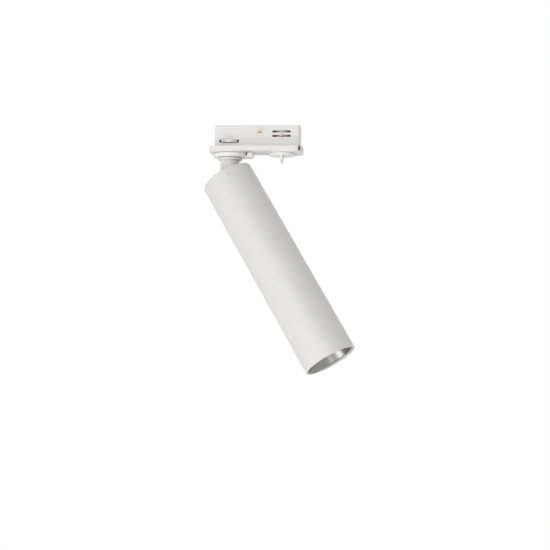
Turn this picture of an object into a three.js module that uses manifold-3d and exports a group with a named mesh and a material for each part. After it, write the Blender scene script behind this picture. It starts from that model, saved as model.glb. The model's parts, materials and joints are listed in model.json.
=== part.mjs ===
// Track spotlight: a slim cylinder head that pans and tilts under a three-circuit track adapter.
// Millimetres, +Z up. The origin is on the pan axis, at the seat plane where the adapter meets the
// underside of the track. +X runs along the track towards the circuit selector.
import * as THREE from "three";
import { mergeVertices } from "three/addons/utils/BufferGeometryUtils.js";
import Module from "manifold-3d";

const wasm = await Module();
wasm.setup();

// Pose at rest
const DEGREE = Math.PI / 180;
const PAN_AT_REST = -24.9 * DEGREE;
const TILT_AT_REST = 32.9 * DEGREE;

// Fits: a gap between still parts, a gap round moving parts, a gap between stacked flat parts
const FIT_GAP = 0.2;
const RUNNING_GAP = 0.3;
const STACK_GAP = 0.1;
const CUT_OVERRUN = 1;

// Base plate under the track, with a thicker pad at each end
const PLATE_BEHIND = 20;
const PLATE_AHEAD = 75.5;
const PLATE_WIDTH = 36;
const PLATE_CORNER = 9;
const PLATE_THICKNESS = 5.1;
const PAD_DROP = 1;
const PAD_EDGE = 0.6;
const PAD_ARC_RADIUS = 18;

// Catch in a notch of the base plate's corner
const NOTCH_ANGLE = -48 * DEGREE;
const NOTCH_WIDTH = 3.2;
const NOTCH_DEPTH = 3;
const NOTCH_HEIGHT = 5;
const CATCH_RECESS = 1;

// Neck that stands inside the track
const NECK_BACK_INSET = 5;
const NECK_FRONT_INSET = 2.5;
const NECK_WIDTH = 17.4;
const NECK_CORNER = 2.5;
const NECK_SEAT = 0.5;
const NECK_WALL = 1.4;
const NECK_HEIGHT = 22;
const NECK_FLOOR = 3.9;
const COVER_THICKNESS = 2;
const SHELF_THICKNESS = 1.8;
const POST_RADIUS = 2.3;
const POST_FROM_SELECTOR = 15.7;
const BACK_POST_INSET = 4;

// Screws of the neck
const SCREW_RADIUS = 1.25;
const SCREW_HEAD_RADIUS = 2.1;
const SCREW_HEAD_HEIGHT = 1.3;
const SCREW_SLOT_WIDTH = 0.6;
const SCREW_BITE = 3.5;

// Lock lever: the ring under the base plate, its thumb tab and its sleeve
const LEVER_RADIUS = 17.5;
const LEVER_THICKNESS = 4;
const LEVER_GAP = 0.4;
const TAB_START = 18.4;
const TAB_END = 24.3;
const TAB_WIDTH = 14;
const TAB_CORNER = 1.5;
const TAB_BRIDGE = 1.8;
const TAB_PLATE_GAP = 0.3;
const SLEEVE_RADIUS = 6.9;
const SLEEVE_FLAT = 6;
const CAM_BASE = 4.4;
const CAM_THICKNESS = 2.5;
const CAM_RADIUS = 13;
const CAM_HALF_WIDTH = 8.2;

// Circuit selector: the knob under the plate, its drum and its contact fingers
const SELECTOR_INSET = 21.8;
const KNOB_RADIUS = 13.6;
const KNOB_THICKNESS = 2.5;
const KNOB_EDGE = 0.6;
const FIN_THICKNESS = 2.4;
const FIN_SHOULDER = 6;
const FIN_DEPTH = 10.2;
const JOURNAL_RADIUS = 3.6;
const SHAFT_SQUARE = 5;
const SHAFT_TOP = 15;
const DRUM_RADIUS = 6.7;
const DETENT_HEIGHT = 3.4;
const DETENT_NOTCH = 0.9;
const DETENT_SPRING_THICKNESS = 0.5;
const FINGER_REACH = 12.2;
const FINGER_WIDTH = 2.4;
const FINGER_THICKNESS = 1.6;
const FINGER_ROOT = 4.2;
const LOWER_FINGER_Z = 11;
const UPPER_FINGER_Z = 15.5;
const SELECTOR_STEP = 45 * DEGREE;

// Terminal block and the fixed contacts
const BLOCK_FROM_CAM = 4;
const BLOCK_FROM_POST = 1.7;
const BLOCK_WIDTH = 13.4;
const BLOCK_HEIGHT = 10.3;
const PORT_RADIUS = 1.2;
const PORT_PITCH = 4.2;
const PORT_COUNT = 3;
const BLADE_WIDTH = 4;
const BLADE_THICKNESS = 1;
const BLADE_ROOT = 4.5;
const BLADE_REACH = 12.4;

// Places on the terminal block, as shares of its length
const blockShares = { port: 0.235, neutral: 0.412, earth: 0.706 };

// Swivel: the threaded tube with its stack of rings, and the stem
const TUBE_RADIUS = 5;
const TUBE_BORE_RADIUS = 3.4;
const TUBE_SPARE = 0.4;
const SPRING_WASHER_THICKNESS = 0.8;
const STOP_WASHER_THICKNESS = 0.8;
const WASHER_RADIUS = 5.9;
const STOP_TAB_REACH = 6.9;
const STOP_TAB_WIDTH = 1.4;
const STOP_LUG_WIDTH = 1.4;
const NUT_RADIUS = 6.6;
const NUT_THICKNESS = 2.5;
const NUT_SLOT_WIDTH = 1.6;
const NUT_SLOT_DEPTH = 1;
const FRICTION_WASHER_RADIUS = 9;
const FRICTION_WASHER_THICKNESS = 1;
const FLANGE_RADIUS = 12.4;
const FLANGE_THICKNESS = 2.5;
const STEM_RADIUS = 9.8;
const STEM_BORE_RADIUS = 6.5;
const THREAD_DEPTH = 5.5;
const PIVOT_DROP = 41.4;
const STEM_FLAT = 8.6;
const TILT_WASHER_RADIUS = 5;

// Head: the tube and how it hangs on the hinge
const HEAD_RADIUS = 27;
const HEAD_WALL = 2;
const HEAD_LENGTH = 220;
const HEAD_EDGE = 0.5;
const HEAD_RISE = 9.9;

// Top cap with the hinge cheeks
const CAP_RECESS = 0.5;
const CAP_THICKNESS = 3;
const SKIRT_WALL = 3;
const SKIRT_DROP = 6.4;
const SLOT_HALF_WIDTH = 10.4;
const SLOT_FROM_LUG = 0.5;
const CHEEK_THICKNESS = 4;
const CHEEK_RADIUS = 8;
const LUG_THICKNESS = 3.4;
const LUG_HALF_WIDTH = 7;

// Screws of the cap, set into the tube's wall
const GRUB_RADIUS = 1.5;
const GRUB_LENGTH = 4.2;
const GRUB_RECESS = 0.3;
const GRUB_SOCKET_RADIUS = 0.75;
const GRUB_SOCKET_DEPTH = 1.5;
const GRUB_DROP = 6.9;
const GRUB_COUNT = 3;

// Hinge bolt and nut
const BOLT_RADIUS = 2.5;
const BOLT_HEAD_RADIUS = 4.4;
const BOLT_HEAD_HEIGHT = 2.6;
const BOLT_SOCKET_RADIUS = 1.7;
const BOLT_SOCKET_DEPTH = 1.6;
const BOLT_SPARE = 0.6;
const HINGE_NUT_RADIUS = 4.5;
const HINGE_NUT_HEIGHT = 3;

// Spine that carries the driver and the heat sink
const SPINE_THICKNESS = 2;
const SPINE_WIDTH = 14;
const SPINE_TOP = 2;
const SPINE_CLEARANCE = 0.7;
const FOOT_MARGIN = 4.2;
const FOOT_SCREW_REACH = 4;
const M3_RADIUS = 1.5;
const M3_HEAD_RADIUS = 2.6;
const M3_HEAD_HEIGHT = 1.6;
const M3_LENGTH = 5;
const SPINE_SCREW_DROP = 4.4;

// Driver: case, lid, board and its parts
const DRIVER_DROP = 24;
const DRIVER_FOOT_ROOM = 18;
const DRIVER_CLEARANCE = 1.55;
const DRIVER_DEPTH = 24;
const DRIVER_WALL = 1.4;
const DRIVER_EAR = 8;
const LID_THICKNESS = 1.4;
const BOARD_THICKNESS = 1.6;
const BOARD_MARGIN = 0.5;
const STANDOFF_HEIGHT = 3;
const STANDOFF_RADIUS = 1.8;
const STANDOFF_INSET = 3;
const TRANSFORMER_WIDTH = 16;
const TRANSFORMER_HEIGHT = 12;
const WINDING_PROUD = 1.6;
const CAPACITOR_RADIUS = 5.5;
const CHOKE_RADIUS = 5;
const TERMINAL_WIDTH = 9;
const TERMINAL_HEIGHT = 5.2;

// Places and sizes of the board's parts, as shares of the length of the driver's room
const driverPartShares = {
  terminalInset: 0.047,
  terminalLength: 0.104,
  chokeTop: 0.186,
  chokeLength: 0.088,
  transformerTop: 0.395,
  transformerLength: 0.197,
  windingRadius: 0.07,
  capacitorTop: 0.644,
  capacitorLength: 0.154,
};

// Heat sink
const SINK_LENGTH = 36;
const SINK_BASE = 5;
const SINK_CORE_RADIUS = 9;
const FIN_COUNT = 20;
const SINK_FIN_THICKNESS = 1.2;

// Light source and reflector
const LED_BOARD_SIZE = 20;
const LED_BOARD_THICKNESS = 1.4;
const LED_RADIUS = 7;
const LED_THICKNESS = 0.7;
const HOLDER_RADIUS = 17.5;
const HOLDER_THICKNESS = 5;
const HOLDER_BORE_RADIUS = 8.4;
const HOLDER_SCREW_OFFSET = 13.8;
const HOLDER_NOTCH_WIDTH = 6.8;
const HOLDER_NOTCH_DEPTH = 3.3;
const REFLECTOR_RECESS = 1.8;
const REFLECTOR_DEPTH = 29.4;
const REFLECTOR_WALL = 1;
const REFLECTOR_THROAT_RADIUS = 8.4;
const REFLECTOR_NECK = 1.5;

// Leads
const MAINS_LEAD_RADIUS = 1.5;
const LED_LEAD_RADIUS = 0.8;
const LED_LEAD_REACH = 14;

// Faces round a circle, and steps along a lead
const WIDE_ROUND = 48;
const ROUND = 36;
const SMALL_ROUND = 16;
const TINY_ROUND = 8;
const HEX_SIDES = 6;
const LEAD_SIDES = 8;
const LEAD_STEPS = 16;
const ARC_STEPS = 5;
const REFLECTOR_STEPS = 6;

// Heights above the seat plane that several parts share
const padBottom = -(PLATE_THICKNESS + PAD_DROP);
const leverTop = padBottom - LEVER_GAP;
const leverBottom = leverTop - LEVER_THICKNESS;
const flangeTop = leverBottom - RUNNING_GAP;
const flangeBottom = flangeTop - FLANGE_THICKNESS;
const coverBase = NECK_HEIGHT - COVER_THICKNESS;
const camTop = CAM_BASE + CAM_THICKNESS;
const shelfBase = camTop + 3 * RUNNING_GAP;
const shelfTop = shelfBase + SHELF_THICKNESS;
const springWasherBase = shelfTop + STACK_GAP;
const stopWasherBase = springWasherBase + SPRING_WASHER_THICKNESS + STACK_GAP;
const nutBase = stopWasherBase + STOP_WASHER_THICKNESS + STACK_GAP;
const tubeTop = nutBase + NUT_THICKNESS + TUBE_SPARE;
const threadBottom = flangeTop - THREAD_DEPTH;
const sleeveBore = TUBE_RADIUS + RUNNING_GAP;
const neckInside = NECK_WIDTH / 2 - NECK_WALL;

// Places along the track
const neckBack = NECK_BACK_INSET - PLATE_BEHIND;
const neckFront = PLATE_AHEAD - NECK_FRONT_INSET;
const selectorX = PLATE_AHEAD - SELECTOR_INSET;
const frontPostX = selectorX - POST_FROM_SELECTOR;
const backPostX = neckBack + BACK_POST_INSET;
const blockStart = CAM_RADIUS + BLOCK_FROM_CAM;
const blockEnd = frontPostX - POST_RADIUS - BLOCK_FROM_POST;
const blockLength = blockEnd - blockStart;
const portDepth = blockShares.port * blockLength;

// Heights in the head's own frame, where the hinge is at zero and the tube's axis is up
const capTop = HEAD_RISE - CAP_RECESS;
const capUnderside = capTop - CAP_THICKNESS;
const mouth = HEAD_RISE - HEAD_LENGTH;
const boreRadius = HEAD_RADIUS - HEAD_WALL;
const capRadius = boreRadius - RUNNING_GAP;
const cheekOuter = SLOT_HALF_WIDTH + CHEEK_THICKNESS;
const skirtRadius = capRadius - SKIRT_WALL;
const spineOuter = -Math.sqrt((skirtRadius - SPINE_CLEARANCE) ** 2 - (SPINE_WIDTH / 2) ** 2);
const spineInner = spineOuter + SPINE_THICKNESS;
const lugOuter = spineInner + FIT_GAP;
const lugInner = lugOuter + LUG_THICKNESS;
const hingeX = lugInner + SLOT_FROM_LUG + SLOT_HALF_WIDTH;
const rim = mouth + REFLECTOR_RECESS;
const throat = rim + REFLECTOR_DEPTH;
const neckTop = throat + REFLECTOR_NECK;
const holderBottom = neckTop + FIT_GAP;
const boardTop = holderBottom + HOLDER_THICKNESS;
const sinkBottom = boardTop + FIT_GAP;
const sinkTop = sinkBottom + SINK_LENGTH;
const sinkRadius = boreRadius - 2 * FIT_GAP;

// Makes a solid of a closed geometry, with shared corners merged and faces out
function solidOf(geometry) {
  const bare = geometry.index ? geometry.toNonIndexed() : geometry.clone();
  bare.deleteAttribute("normal");
  bare.deleteAttribute("uv");
  const merged = mergeVertices(bare);
  const corners = merged.attributes.position.array;
  const faces = [];
  for (let at = 0; at < merged.index.count; at += 3) {
    const [a, b, c] = merged.index.array.slice(at, at + 3);
    if (a !== b && b !== c && c !== a) faces.push(a, b, c);
  }
  if (volumeOf(corners, faces) < 0) faces.reverse();
  return new wasm.Manifold(new wasm.Mesh({
    numProp: 3,
    vertProperties: Float32Array.from(corners),
    triVerts: Uint32Array.from(faces),
  }));
}

function volumeOf(corners, faces) {
  const corner = (at) => new THREE.Vector3().fromArray(corners, 3 * at);
  let sum = 0;
  for (let at = 0; at < faces.length; at += 3) {
    const [a, b, c] = [corner(faces[at]), corner(faces[at + 1]), corner(faces[at + 2])];
    sum += a.dot(b.cross(c)) / 6;
  }
  return sum;
}

// Turns an outline of [radius, height] points about the Z axis
function turned(outline, sides = ROUND) {
  const points = outline.map(([radius, height]) => new THREE.Vector2(radius, height));
  return solidOf(new THREE.LatheGeometry(points, sides).rotateX(Math.PI / 2));
}

// A turned ring with a square section
function ring(inner, outer, low, high, sides = ROUND) {
  return turned([[inner, low], [outer, low], [outer, high], [inner, high], [inner, low]], sides);
}

// An upright round rod at x, y
function rod(radius, low, high, x = 0, y = 0, sides = SMALL_ROUND) {
  const geometry = new THREE.CylinderGeometry(radius, radius, high - low, sides);
  geometry.rotateX(Math.PI / 2).translate(x, y, (low + high) / 2);
  return solidOf(geometry);
}

// A rod along Y, between two places on that axis
function crossRod(radius, [near, far], x, z, sides = SMALL_ROUND) {
  const geometry = new THREE.CylinderGeometry(radius, radius, far - near, sides);
  geometry.translate(x, (near + far) / 2, z);
  return solidOf(geometry);
}

// A rod along X, between two places on that axis
function lengthRod(radius, [back, front], y, z, sides = SMALL_ROUND) {
  const geometry = new THREE.CylinderGeometry(radius, radius, front - back, sides);
  geometry.rotateZ(Math.PI / 2).translate((back + front) / 2, y, z);
  return solidOf(geometry);
}

function block([x0, x1], [y0, y1], [z0, z1]) {
  const geometry = new THREE.BoxGeometry(x1 - x0, y1 - y0, z1 - z0);
  geometry.translate((x0 + x1) / 2, (y0 + y1) / 2, (z0 + z1) / 2);
  return solidOf(geometry);
}

// Extrudes a flat outline upwards
function prism(shape, low, high) {
  const settings = { depth: high - low, bevelEnabled: false, curveSegments: ARC_STEPS };
  return solidOf(new THREE.ExtrudeGeometry(shape, settings).translate(0, 0, low));
}

// A rectangle with round corners, given by its ends along X and its width along Y
function roundedRectangle(x0, x1, width, corner) {
  const half = width / 2;
  const shape = new THREE.Shape();
  shape.absarc(x1 - corner, corner - half, corner, -Math.PI / 2, 0);
  shape.absarc(x1 - corner, half - corner, corner, 0, Math.PI / 2);
  shape.absarc(x0 + corner, half - corner, corner, Math.PI / 2, Math.PI);
  shape.absarc(x0 + corner, corner - half, corner, Math.PI, 1.5 * Math.PI);
  shape.closePath();
  return shape;
}

// A lead along a smooth curve through hand-chosen points
function lead(points, radius) {
  const section = new THREE.Shape();
  for (let side = 0; side < LEAD_SIDES; side += 1) {
    const angle = (side * 2 * Math.PI) / LEAD_SIDES;
    const corner = [radius * Math.cos(angle), radius * Math.sin(angle)];
    if (side === 0) section.moveTo(...corner);
    else section.lineTo(...corner);
  }
  section.closePath();
  const path = new THREE.CatmullRomCurve3(points.map((point) => new THREE.Vector3(...point)));
  return solidOf(new THREE.ExtrudeGeometry(section, { steps: LEAD_STEPS, extrudePath: path }));
}

function joined(solids) {
  return solids.reduce((all, one) => all.add(one));
}

function without(solid, cuts) {
  return cuts.reduce((left, cut) => left.subtract(cut), solid);
}

// Copies made by a function of the index
function copies(count, make) {
  return Array.from({ length: count }, (_, index) => make(index));
}

// The same solid, turned about the Z axis and then moved
function moved(solid, { turn = 0, x = 0, y = 0, z = 0 }) {
  return solidOf(geometryOf(solid).rotateZ(turn).translate(x, y, z));
}

function geometryOf(solid) {
  const mesh = solid.getMesh();
  const geometry = new THREE.BufferGeometry();
  geometry.setAttribute("position", new THREE.BufferAttribute(Float32Array.from(mesh.vertProperties), 3));
  geometry.setIndex(Array.from(mesh.triVerts));
  return geometry;
}

// Finishes
const finish = (color, roughness, metalness = 0) =>
  new THREE.MeshStandardMaterial({ color, roughness, metalness });
const powderCoat = finish(0xe4e3df, 0.6);
const adapterPlastic = finish(0xe6e5e1, 0.5);
const leverPlastic = finish(0xedece8, 0.4);
const innerPlastic = finish(0xd9d8d2, 0.5);
const darkPlastic = finish(0x2c2926, 0.6);
const steel = finish(0xa8a9ab, 0.35, 1);
const aluminium = finish(0xc4c5c7, 0.4, 1);
const mirror = finish(0x8d8c8a, 0.26, 1);
const brass = finish(0xc59a4a, 0.3, 1);
const copper = finish(0xb8724a, 0.35, 1);
const boardGreen = finish(0x2f6b45, 0.5);
const phosphor = finish(0xe8c93c, 0.5);
const whiteBoard = finish(0xe9e9e4, 0.4);
const leadJacket = finish(0xdad7cf, 0.55);

// Outline of one pad: a half round towards the middle, and the plate's own corners at the end
function padOutline(arcX, endX) {
  const half = PLATE_WIDTH / 2;
  const side = Math.sign(endX - arcX);
  const cornerX = endX - side * PLATE_CORNER;
  const cornerY = half - PLATE_CORNER;
  const quarter = Math.PI / 2;
  const shape = new THREE.Shape();
  if (side > 0) {
    shape.absarc(cornerX, -cornerY, PLATE_CORNER, -quarter, 0);
    shape.absarc(cornerX, cornerY, PLATE_CORNER, 0, quarter);
    shape.absarc(arcX, 0, PAD_ARC_RADIUS, quarter, 3 * quarter);
  } else {
    shape.absarc(cornerX, cornerY, PLATE_CORNER, quarter, 2 * quarter);
    shape.absarc(cornerX, -cornerY, PLATE_CORNER, 2 * quarter, 3 * quarter);
    shape.absarc(arcX, 0, PAD_ARC_RADIUS, -quarter, quarter);
  }
  shape.closePath();
  return shape;
}

// A pad reaches up into the plate and has a bevelled lower edge
function pad(arcX, endX) {
  const depth = PLATE_THICKNESS + PAD_DROP - 2 * PAD_EDGE;
  const geometry = new THREE.ExtrudeGeometry(padOutline(arcX, endX), {
    depth,
    bevelThickness: PAD_EDGE,
    bevelSize: PAD_EDGE,
    bevelOffset: -PAD_EDGE,
    bevelSegments: 1,
    curveSegments: 2 * ARC_STEPS,
  });
  return solidOf(geometry.translate(0, 0, padBottom + PAD_EDGE));
}

const selectorArcX = PLATE_AHEAD - PAD_ARC_RADIUS;
const notchCentre = new THREE.Vector2(PLATE_AHEAD - PLATE_CORNER, PLATE_CORNER - PLATE_WIDTH / 2);

// A block that stands in the corner wall, from one distance to another off the corner's centre
function cornerBlock(near, far, width, low, high) {
  const bar = block([near, far], [-width / 2, width / 2], [low, high]);
  return moved(bar, { turn: NOTCH_ANGLE, x: notchCentre.x, y: notchCentre.y });
}

const screwPlaces = [frontPostX, neckFront - NECK_WALL / 2 - POST_RADIUS];

function basePlate() {
  const plate = prism(
    roundedRectangle(-PLATE_BEHIND, PLATE_AHEAD, PLATE_WIDTH, PLATE_CORNER), -PLATE_THICKNESS, 0);
  const whole = joined([plate, pad(0, -PLATE_BEHIND), pad(selectorArcX, PLATE_AHEAD)]);
  const below = padBottom - CUT_OVERRUN;
  const neckSeat = roundedRectangle(neckBack - FIT_GAP, neckFront + FIT_GAP,
    NECK_WIDTH + 2 * FIT_GAP, NECK_CORNER + FIT_GAP);
  return without(whole, [
    prism(neckSeat, -NECK_SEAT, CUT_OVERRUN),
    rod(SLEEVE_RADIUS + RUNNING_GAP, below, CUT_OVERRUN, 0, 0, ROUND),
    rod(JOURNAL_RADIUS + RUNNING_GAP, below, CUT_OVERRUN, selectorX, 0),
    cornerBlock(PLATE_CORNER - NOTCH_DEPTH, PLATE_CORNER + CUT_OVERRUN, NOTCH_WIDTH,
      -NOTCH_HEIGHT, CUT_OVERRUN),
    ...screwPlaces.map((x) => rod(SCREW_RADIUS + FIT_GAP, -SCREW_BITE - FIT_GAP, CUT_OVERRUN, x, 0,
      TINY_ROUND)),
  ]);
}

function cornerCatch() {
  return cornerBlock(PLATE_CORNER - NOTCH_DEPTH + FIT_GAP, PLATE_CORNER - CATCH_RECESS,
    NOTCH_WIDTH - 2 * FIT_GAP, FIT_GAP - NOTCH_HEIGHT, -FIT_GAP);
}

// The plug-in contacts stick out of both walls of the neck, just above the terminal block
const blockTop = NECK_FLOOR + BLOCK_HEIGHT;
const bladeBase = blockTop + FIT_GAP;
const neutralPlace = { x: blockStart + blockShares.neutral * blockLength, side: 1 };
const earthPlace = { x: blockStart + blockShares.earth * blockLength, side: -1 };

// Two distances from the middle plane, on one side of it, as a low and a high place along Y
function alongSide(side, near, far) {
  return [side * near, side * far].sort((a, b) => a - b);
}

function contactBlade({ x, side }) {
  return block([x, x + BLADE_WIDTH], alongSide(side, BLADE_ROOT, BLADE_REACH),
    [bladeBase, bladeBase + BLADE_THICKNESS]);
}

function bladeWindow({ x, side }) {
  return block([x - FIT_GAP, x + BLADE_WIDTH + FIT_GAP],
    alongSide(side, neckInside - CUT_OVERRUN, NECK_WIDTH / 2 + CUT_OVERRUN),
    [bladeBase - FIT_GAP, bladeBase + BLADE_THICKNESS + FIT_GAP]);
}

function screwHole(x, bottom) {
  return rod(SCREW_RADIUS + FIT_GAP, bottom, NECK_HEIGHT + CUT_OVERRUN, x, 0, TINY_ROUND);
}

function trackHousing() {
  const halfWall = NECK_WALL / 2;
  const shelfMiddle = shelfBase + SHELF_THICKNESS / 2;
  const shelfHalf = neckInside + halfWall;
  const below = -NECK_SEAT - CUT_OVERRUN;
  const shell = prism(
    roundedRectangle(neckBack, neckFront, NECK_WIDTH, NECK_CORNER), -NECK_SEAT, coverBase);
  const room = prism(
    roundedRectangle(neckBack + NECK_WALL, neckFront - NECK_WALL, 2 * neckInside,
      NECK_CORNER - NECK_WALL), NECK_FLOOR, coverBase + CUT_OVERRUN);
  const shelf = block([neckBack + halfWall, blockStart - CUT_OVERRUN], [-shelfHalf, shelfHalf],
    [shelfBase, shelfTop]);
  const longPosts = screwPlaces.map((x) => rod(POST_RADIUS, NECK_FLOOR / 2, coverBase, x, 0));
  const shortPost = rod(POST_RADIUS, shelfMiddle, coverBase, backPostX, 0);
  const stopLug = block([backPostX, -(WASHER_RADIUS + RUNNING_GAP)],
    [-STOP_LUG_WIDTH / 2, STOP_LUG_WIDTH / 2], [shelfMiddle, nutBase - RUNNING_GAP]);
  const walls = joined([without(shell, [room]), shelf, ...longPosts, shortPost, stopLug]);
  const halfSlot = FINGER_THICKNESS / 2 + RUNNING_GAP;
  const fingerSlots = [LOWER_FINGER_Z, UPPER_FINGER_Z].map((z) =>
    rod(FINGER_REACH + 2 * RUNNING_GAP, z - halfSlot, z + halfSlot, selectorX, 0, ROUND));
  return without(walls, [
    rod(SLEEVE_RADIUS + RUNNING_GAP, below, shelfBase, 0, 0, ROUND),
    rod(TUBE_RADIUS + RUNNING_GAP, 0, shelfTop + CUT_OVERRUN, 0, 0, ROUND),
    rod(CAM_RADIUS + RUNNING_GAP, CAM_BASE - RUNNING_GAP, camTop + RUNNING_GAP, 0, 0, ROUND),
    rod(JOURNAL_RADIUS + RUNNING_GAP, below, NECK_FLOOR + CUT_OVERRUN, selectorX, 0),
    ...fingerSlots,
    bladeWindow(neutralPlace),
    bladeWindow(earthPlace),
    ...screwPlaces.map((x) => screwHole(x, below)),
    screwHole(backPostX, shelfTop),
  ]);
}

function housingCover() {
  const plate = prism(
    roundedRectangle(neckBack, neckFront, NECK_WIDTH, NECK_CORNER), coverBase, NECK_HEIGHT);
  return without(plate, [...screwPlaces, backPostX].map((x) => screwHole(x, coverBase - CUT_OVERRUN)));
}

// A round-head screw on the cover that points down, with a straight slot
function coverScrew({ x, tip }) {
  const middle = NECK_HEIGHT + SCREW_HEAD_HEIGHT / 2;
  const head = rod(SCREW_HEAD_RADIUS, NECK_HEIGHT, NECK_HEIGHT + SCREW_HEAD_HEIGHT, x, 0);
  const shank = rod(SCREW_RADIUS, tip, middle, x, 0, TINY_ROUND);
  const slotEnd = SCREW_HEAD_RADIUS + CUT_OVERRUN;
  const slot = block([x - slotEnd, x + slotEnd], [-SCREW_SLOT_WIDTH / 2, SCREW_SLOT_WIDTH / 2],
    [middle, NECK_HEIGHT + SCREW_HEAD_HEIGHT + CUT_OVERRUN]);
  return without(head.add(shank), [slot]);
}

const coverScrews = [
  ...screwPlaces.map((x) => ({ x, tip: -SCREW_BITE })),
  { x: backPostX, tip: shelfTop + FIT_GAP },
];

// Terminal block with a row of push-in ports on top and the cable's entry in its end
const leadEntryZ = blockTop - MAINS_LEAD_RADIUS - BLADE_THICKNESS;

function terminalBlock() {
  const half = BLOCK_WIDTH / 2;
  const body = block([blockStart, blockEnd], [-half, half], [NECK_FLOOR, blockTop]);
  const entry = lengthRod(MAINS_LEAD_RADIUS + FIT_GAP, [blockStart - CUT_OVERRUN, blockStart + portDepth],
    0, leadEntryZ);
  const ports = copies(PORT_COUNT, (index) => rod(PORT_RADIUS, blockTop - portDepth,
    blockTop + CUT_OVERRUN, blockStart + portDepth, (index - (PORT_COUNT - 1) / 2) * PORT_PITCH,
    TINY_ROUND));
  return without(body, [entry, ...ports]);
}

// Lock lever: a ring with a thumb tab on a low bridge, and a sleeve that carries the cam
const frictionWasherTop = leverBottom - STACK_GAP + FRICTION_WASHER_THICKNESS;

function lockLever() {
  const half = TAB_WIDTH / 2;
  const disc = ring(sleeveBore, LEVER_RADIUS, leverBottom, leverTop);
  const sleeve = ring(sleeveBore, SLEEVE_RADIUS, leverTop - LEVER_THICKNESS / 2, camTop);
  const tab = prism(roundedRectangle(TAB_START, TAB_END, TAB_WIDTH, TAB_CORNER),
    leverBottom, -(PLATE_THICKNESS + TAB_PLATE_GAP));
  const bridge = block([LEVER_RADIUS - TAB_END + TAB_START, TAB_START + TAB_CORNER],
    [TAB_CORNER - half, half - TAB_CORNER], [leverBottom, leverBottom + TAB_BRIDGE]);
  const whole = joined([disc, sleeve, tab, bridge]);
  const washerSeat = rod(FRICTION_WASHER_RADIUS + FIT_GAP, leverBottom - CUT_OVERRUN,
    frictionWasherTop + STACK_GAP, 0, 0, ROUND);
  const flats = [-1, 1].map((side) => block([-SLEEVE_RADIUS, SLEEVE_RADIUS],
    alongSide(side, SLEEVE_FLAT, SLEEVE_RADIUS + CUT_OVERRUN), [CAM_BASE, camTop + CUT_OVERRUN]));
  return without(whole, [washerSeat, ...flats]);
}

// The cam reaches out over the track's lips when the lever is locked
function lockCam() {
  const disc = rod(CAM_RADIUS, CAM_BASE, camTop, 0, 0, ROUND);
  const strip = block([-CAM_HALF_WIDTH, CAM_HALF_WIDTH], [-CAM_RADIUS, CAM_RADIUS], [CAM_BASE, camTop]);
  const hole = rod(SLEEVE_RADIUS + FIT_GAP, CAM_BASE - CUT_OVERRUN, camTop + CUT_OVERRUN, 0, 0, ROUND);
  const keyHalf = SLEEVE_FLAT + FIT_GAP;
  const keyed = hole.intersect(block([-CAM_RADIUS, CAM_RADIUS], [-keyHalf, keyHalf],
    [CAM_BASE - CUT_OVERRUN, camTop + CUT_OVERRUN]));
  return without(disc.intersect(strip), [keyed]);
}

// Selector knob: a disc with an arched grip across it, a round journal and a square shaft
const knobTop = padBottom - FIT_GAP;
const knobBottom = knobTop - KNOB_THICKNESS;
const journalTop = NECK_FLOOR + FIT_GAP;

function selectorKnob() {
  const disc = turned([
    [0, knobTop], [KNOB_RADIUS, knobTop], [KNOB_RADIUS, knobBottom + KNOB_EDGE],
    [KNOB_RADIUS - KNOB_EDGE, knobBottom], [0, knobBottom],
  ]);
  const grip = new THREE.Shape();
  const half = KNOB_RADIUS - KNOB_EDGE;
  grip.moveTo(-half, knobTop - KNOB_THICKNESS / 2);
  grip.lineTo(-half, knobTop - FIN_SHOULDER);
  grip.quadraticCurveTo(0, knobTop - 2 * FIN_DEPTH + FIN_SHOULDER, half, knobTop - FIN_SHOULDER);
  grip.lineTo(half, knobTop - KNOB_THICKNESS / 2);
  grip.closePath();
  const settings = { depth: FIN_THICKNESS, bevelEnabled: false, curveSegments: 2 * ARC_STEPS };
  const fin = new THREE.ExtrudeGeometry(grip, settings).translate(0, 0, -FIN_THICKNESS / 2);
  fin.rotateX(Math.PI / 2).rotateZ(Math.PI / 2);
  const journal = rod(JOURNAL_RADIUS, knobTop - KNOB_THICKNESS / 2, journalTop);
  const side = SHAFT_SQUARE / 2;
  const shaft = block([-side, side], [-side, side], [NECK_FLOOR / 2, SHAFT_TOP]);
  return joined([disc, solidOf(fin), journal, shaft]);
}

// The fingers point to the side that each circuit lies on when the knob is at its step
const quarterTurn = Math.PI / 2;
const fingers = [
  { angle: quarterTurn + SELECTOR_STEP, z: LOWER_FINGER_Z },
  { angle: -quarterTurn, z: LOWER_FINGER_Z },
  { angle: quarterTurn - SELECTOR_STEP, z: UPPER_FINGER_Z },
];
const selectorSteps = [-2, -1, 0, 1];

function fingerBar({ angle, z }, spare) {
  const halfWidth = FINGER_WIDTH / 2 + spare;
  const halfThickness = FINGER_THICKNESS / 2 + spare;
  const bar = block([FINGER_ROOT - spare, FINGER_REACH], [-halfWidth, halfWidth],
    [z - halfThickness, z + halfThickness]);
  return moved(bar, { turn: angle });
}

function contactDrum() {
  const low = NECK_FLOOR + FIT_GAP;
  const detentRadius = DRUM_RADIUS - DETENT_NOTCH / 2;
  const body = rod(DRUM_RADIUS, low, coverBase - RUNNING_GAP, 0, 0, ROUND);
  const side = SHAFT_SQUARE / 2 + FIT_GAP;
  const bore = block([-side, side], [-side, side], [low - CUT_OVERRUN, SHAFT_TOP + FIT_GAP]);
  const notches = selectorSteps.map((step) => {
    const angle = Math.PI - step * SELECTOR_STEP;
    return rod(DETENT_NOTCH, low - CUT_OVERRUN, low + DETENT_HEIGHT, detentRadius * Math.cos(angle),
      detentRadius * Math.sin(angle), TINY_ROUND);
  });
  return without(body, [bore, ...notches, ...fingers.map((finger) => fingerBar(finger, FIT_GAP))]);
}

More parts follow.
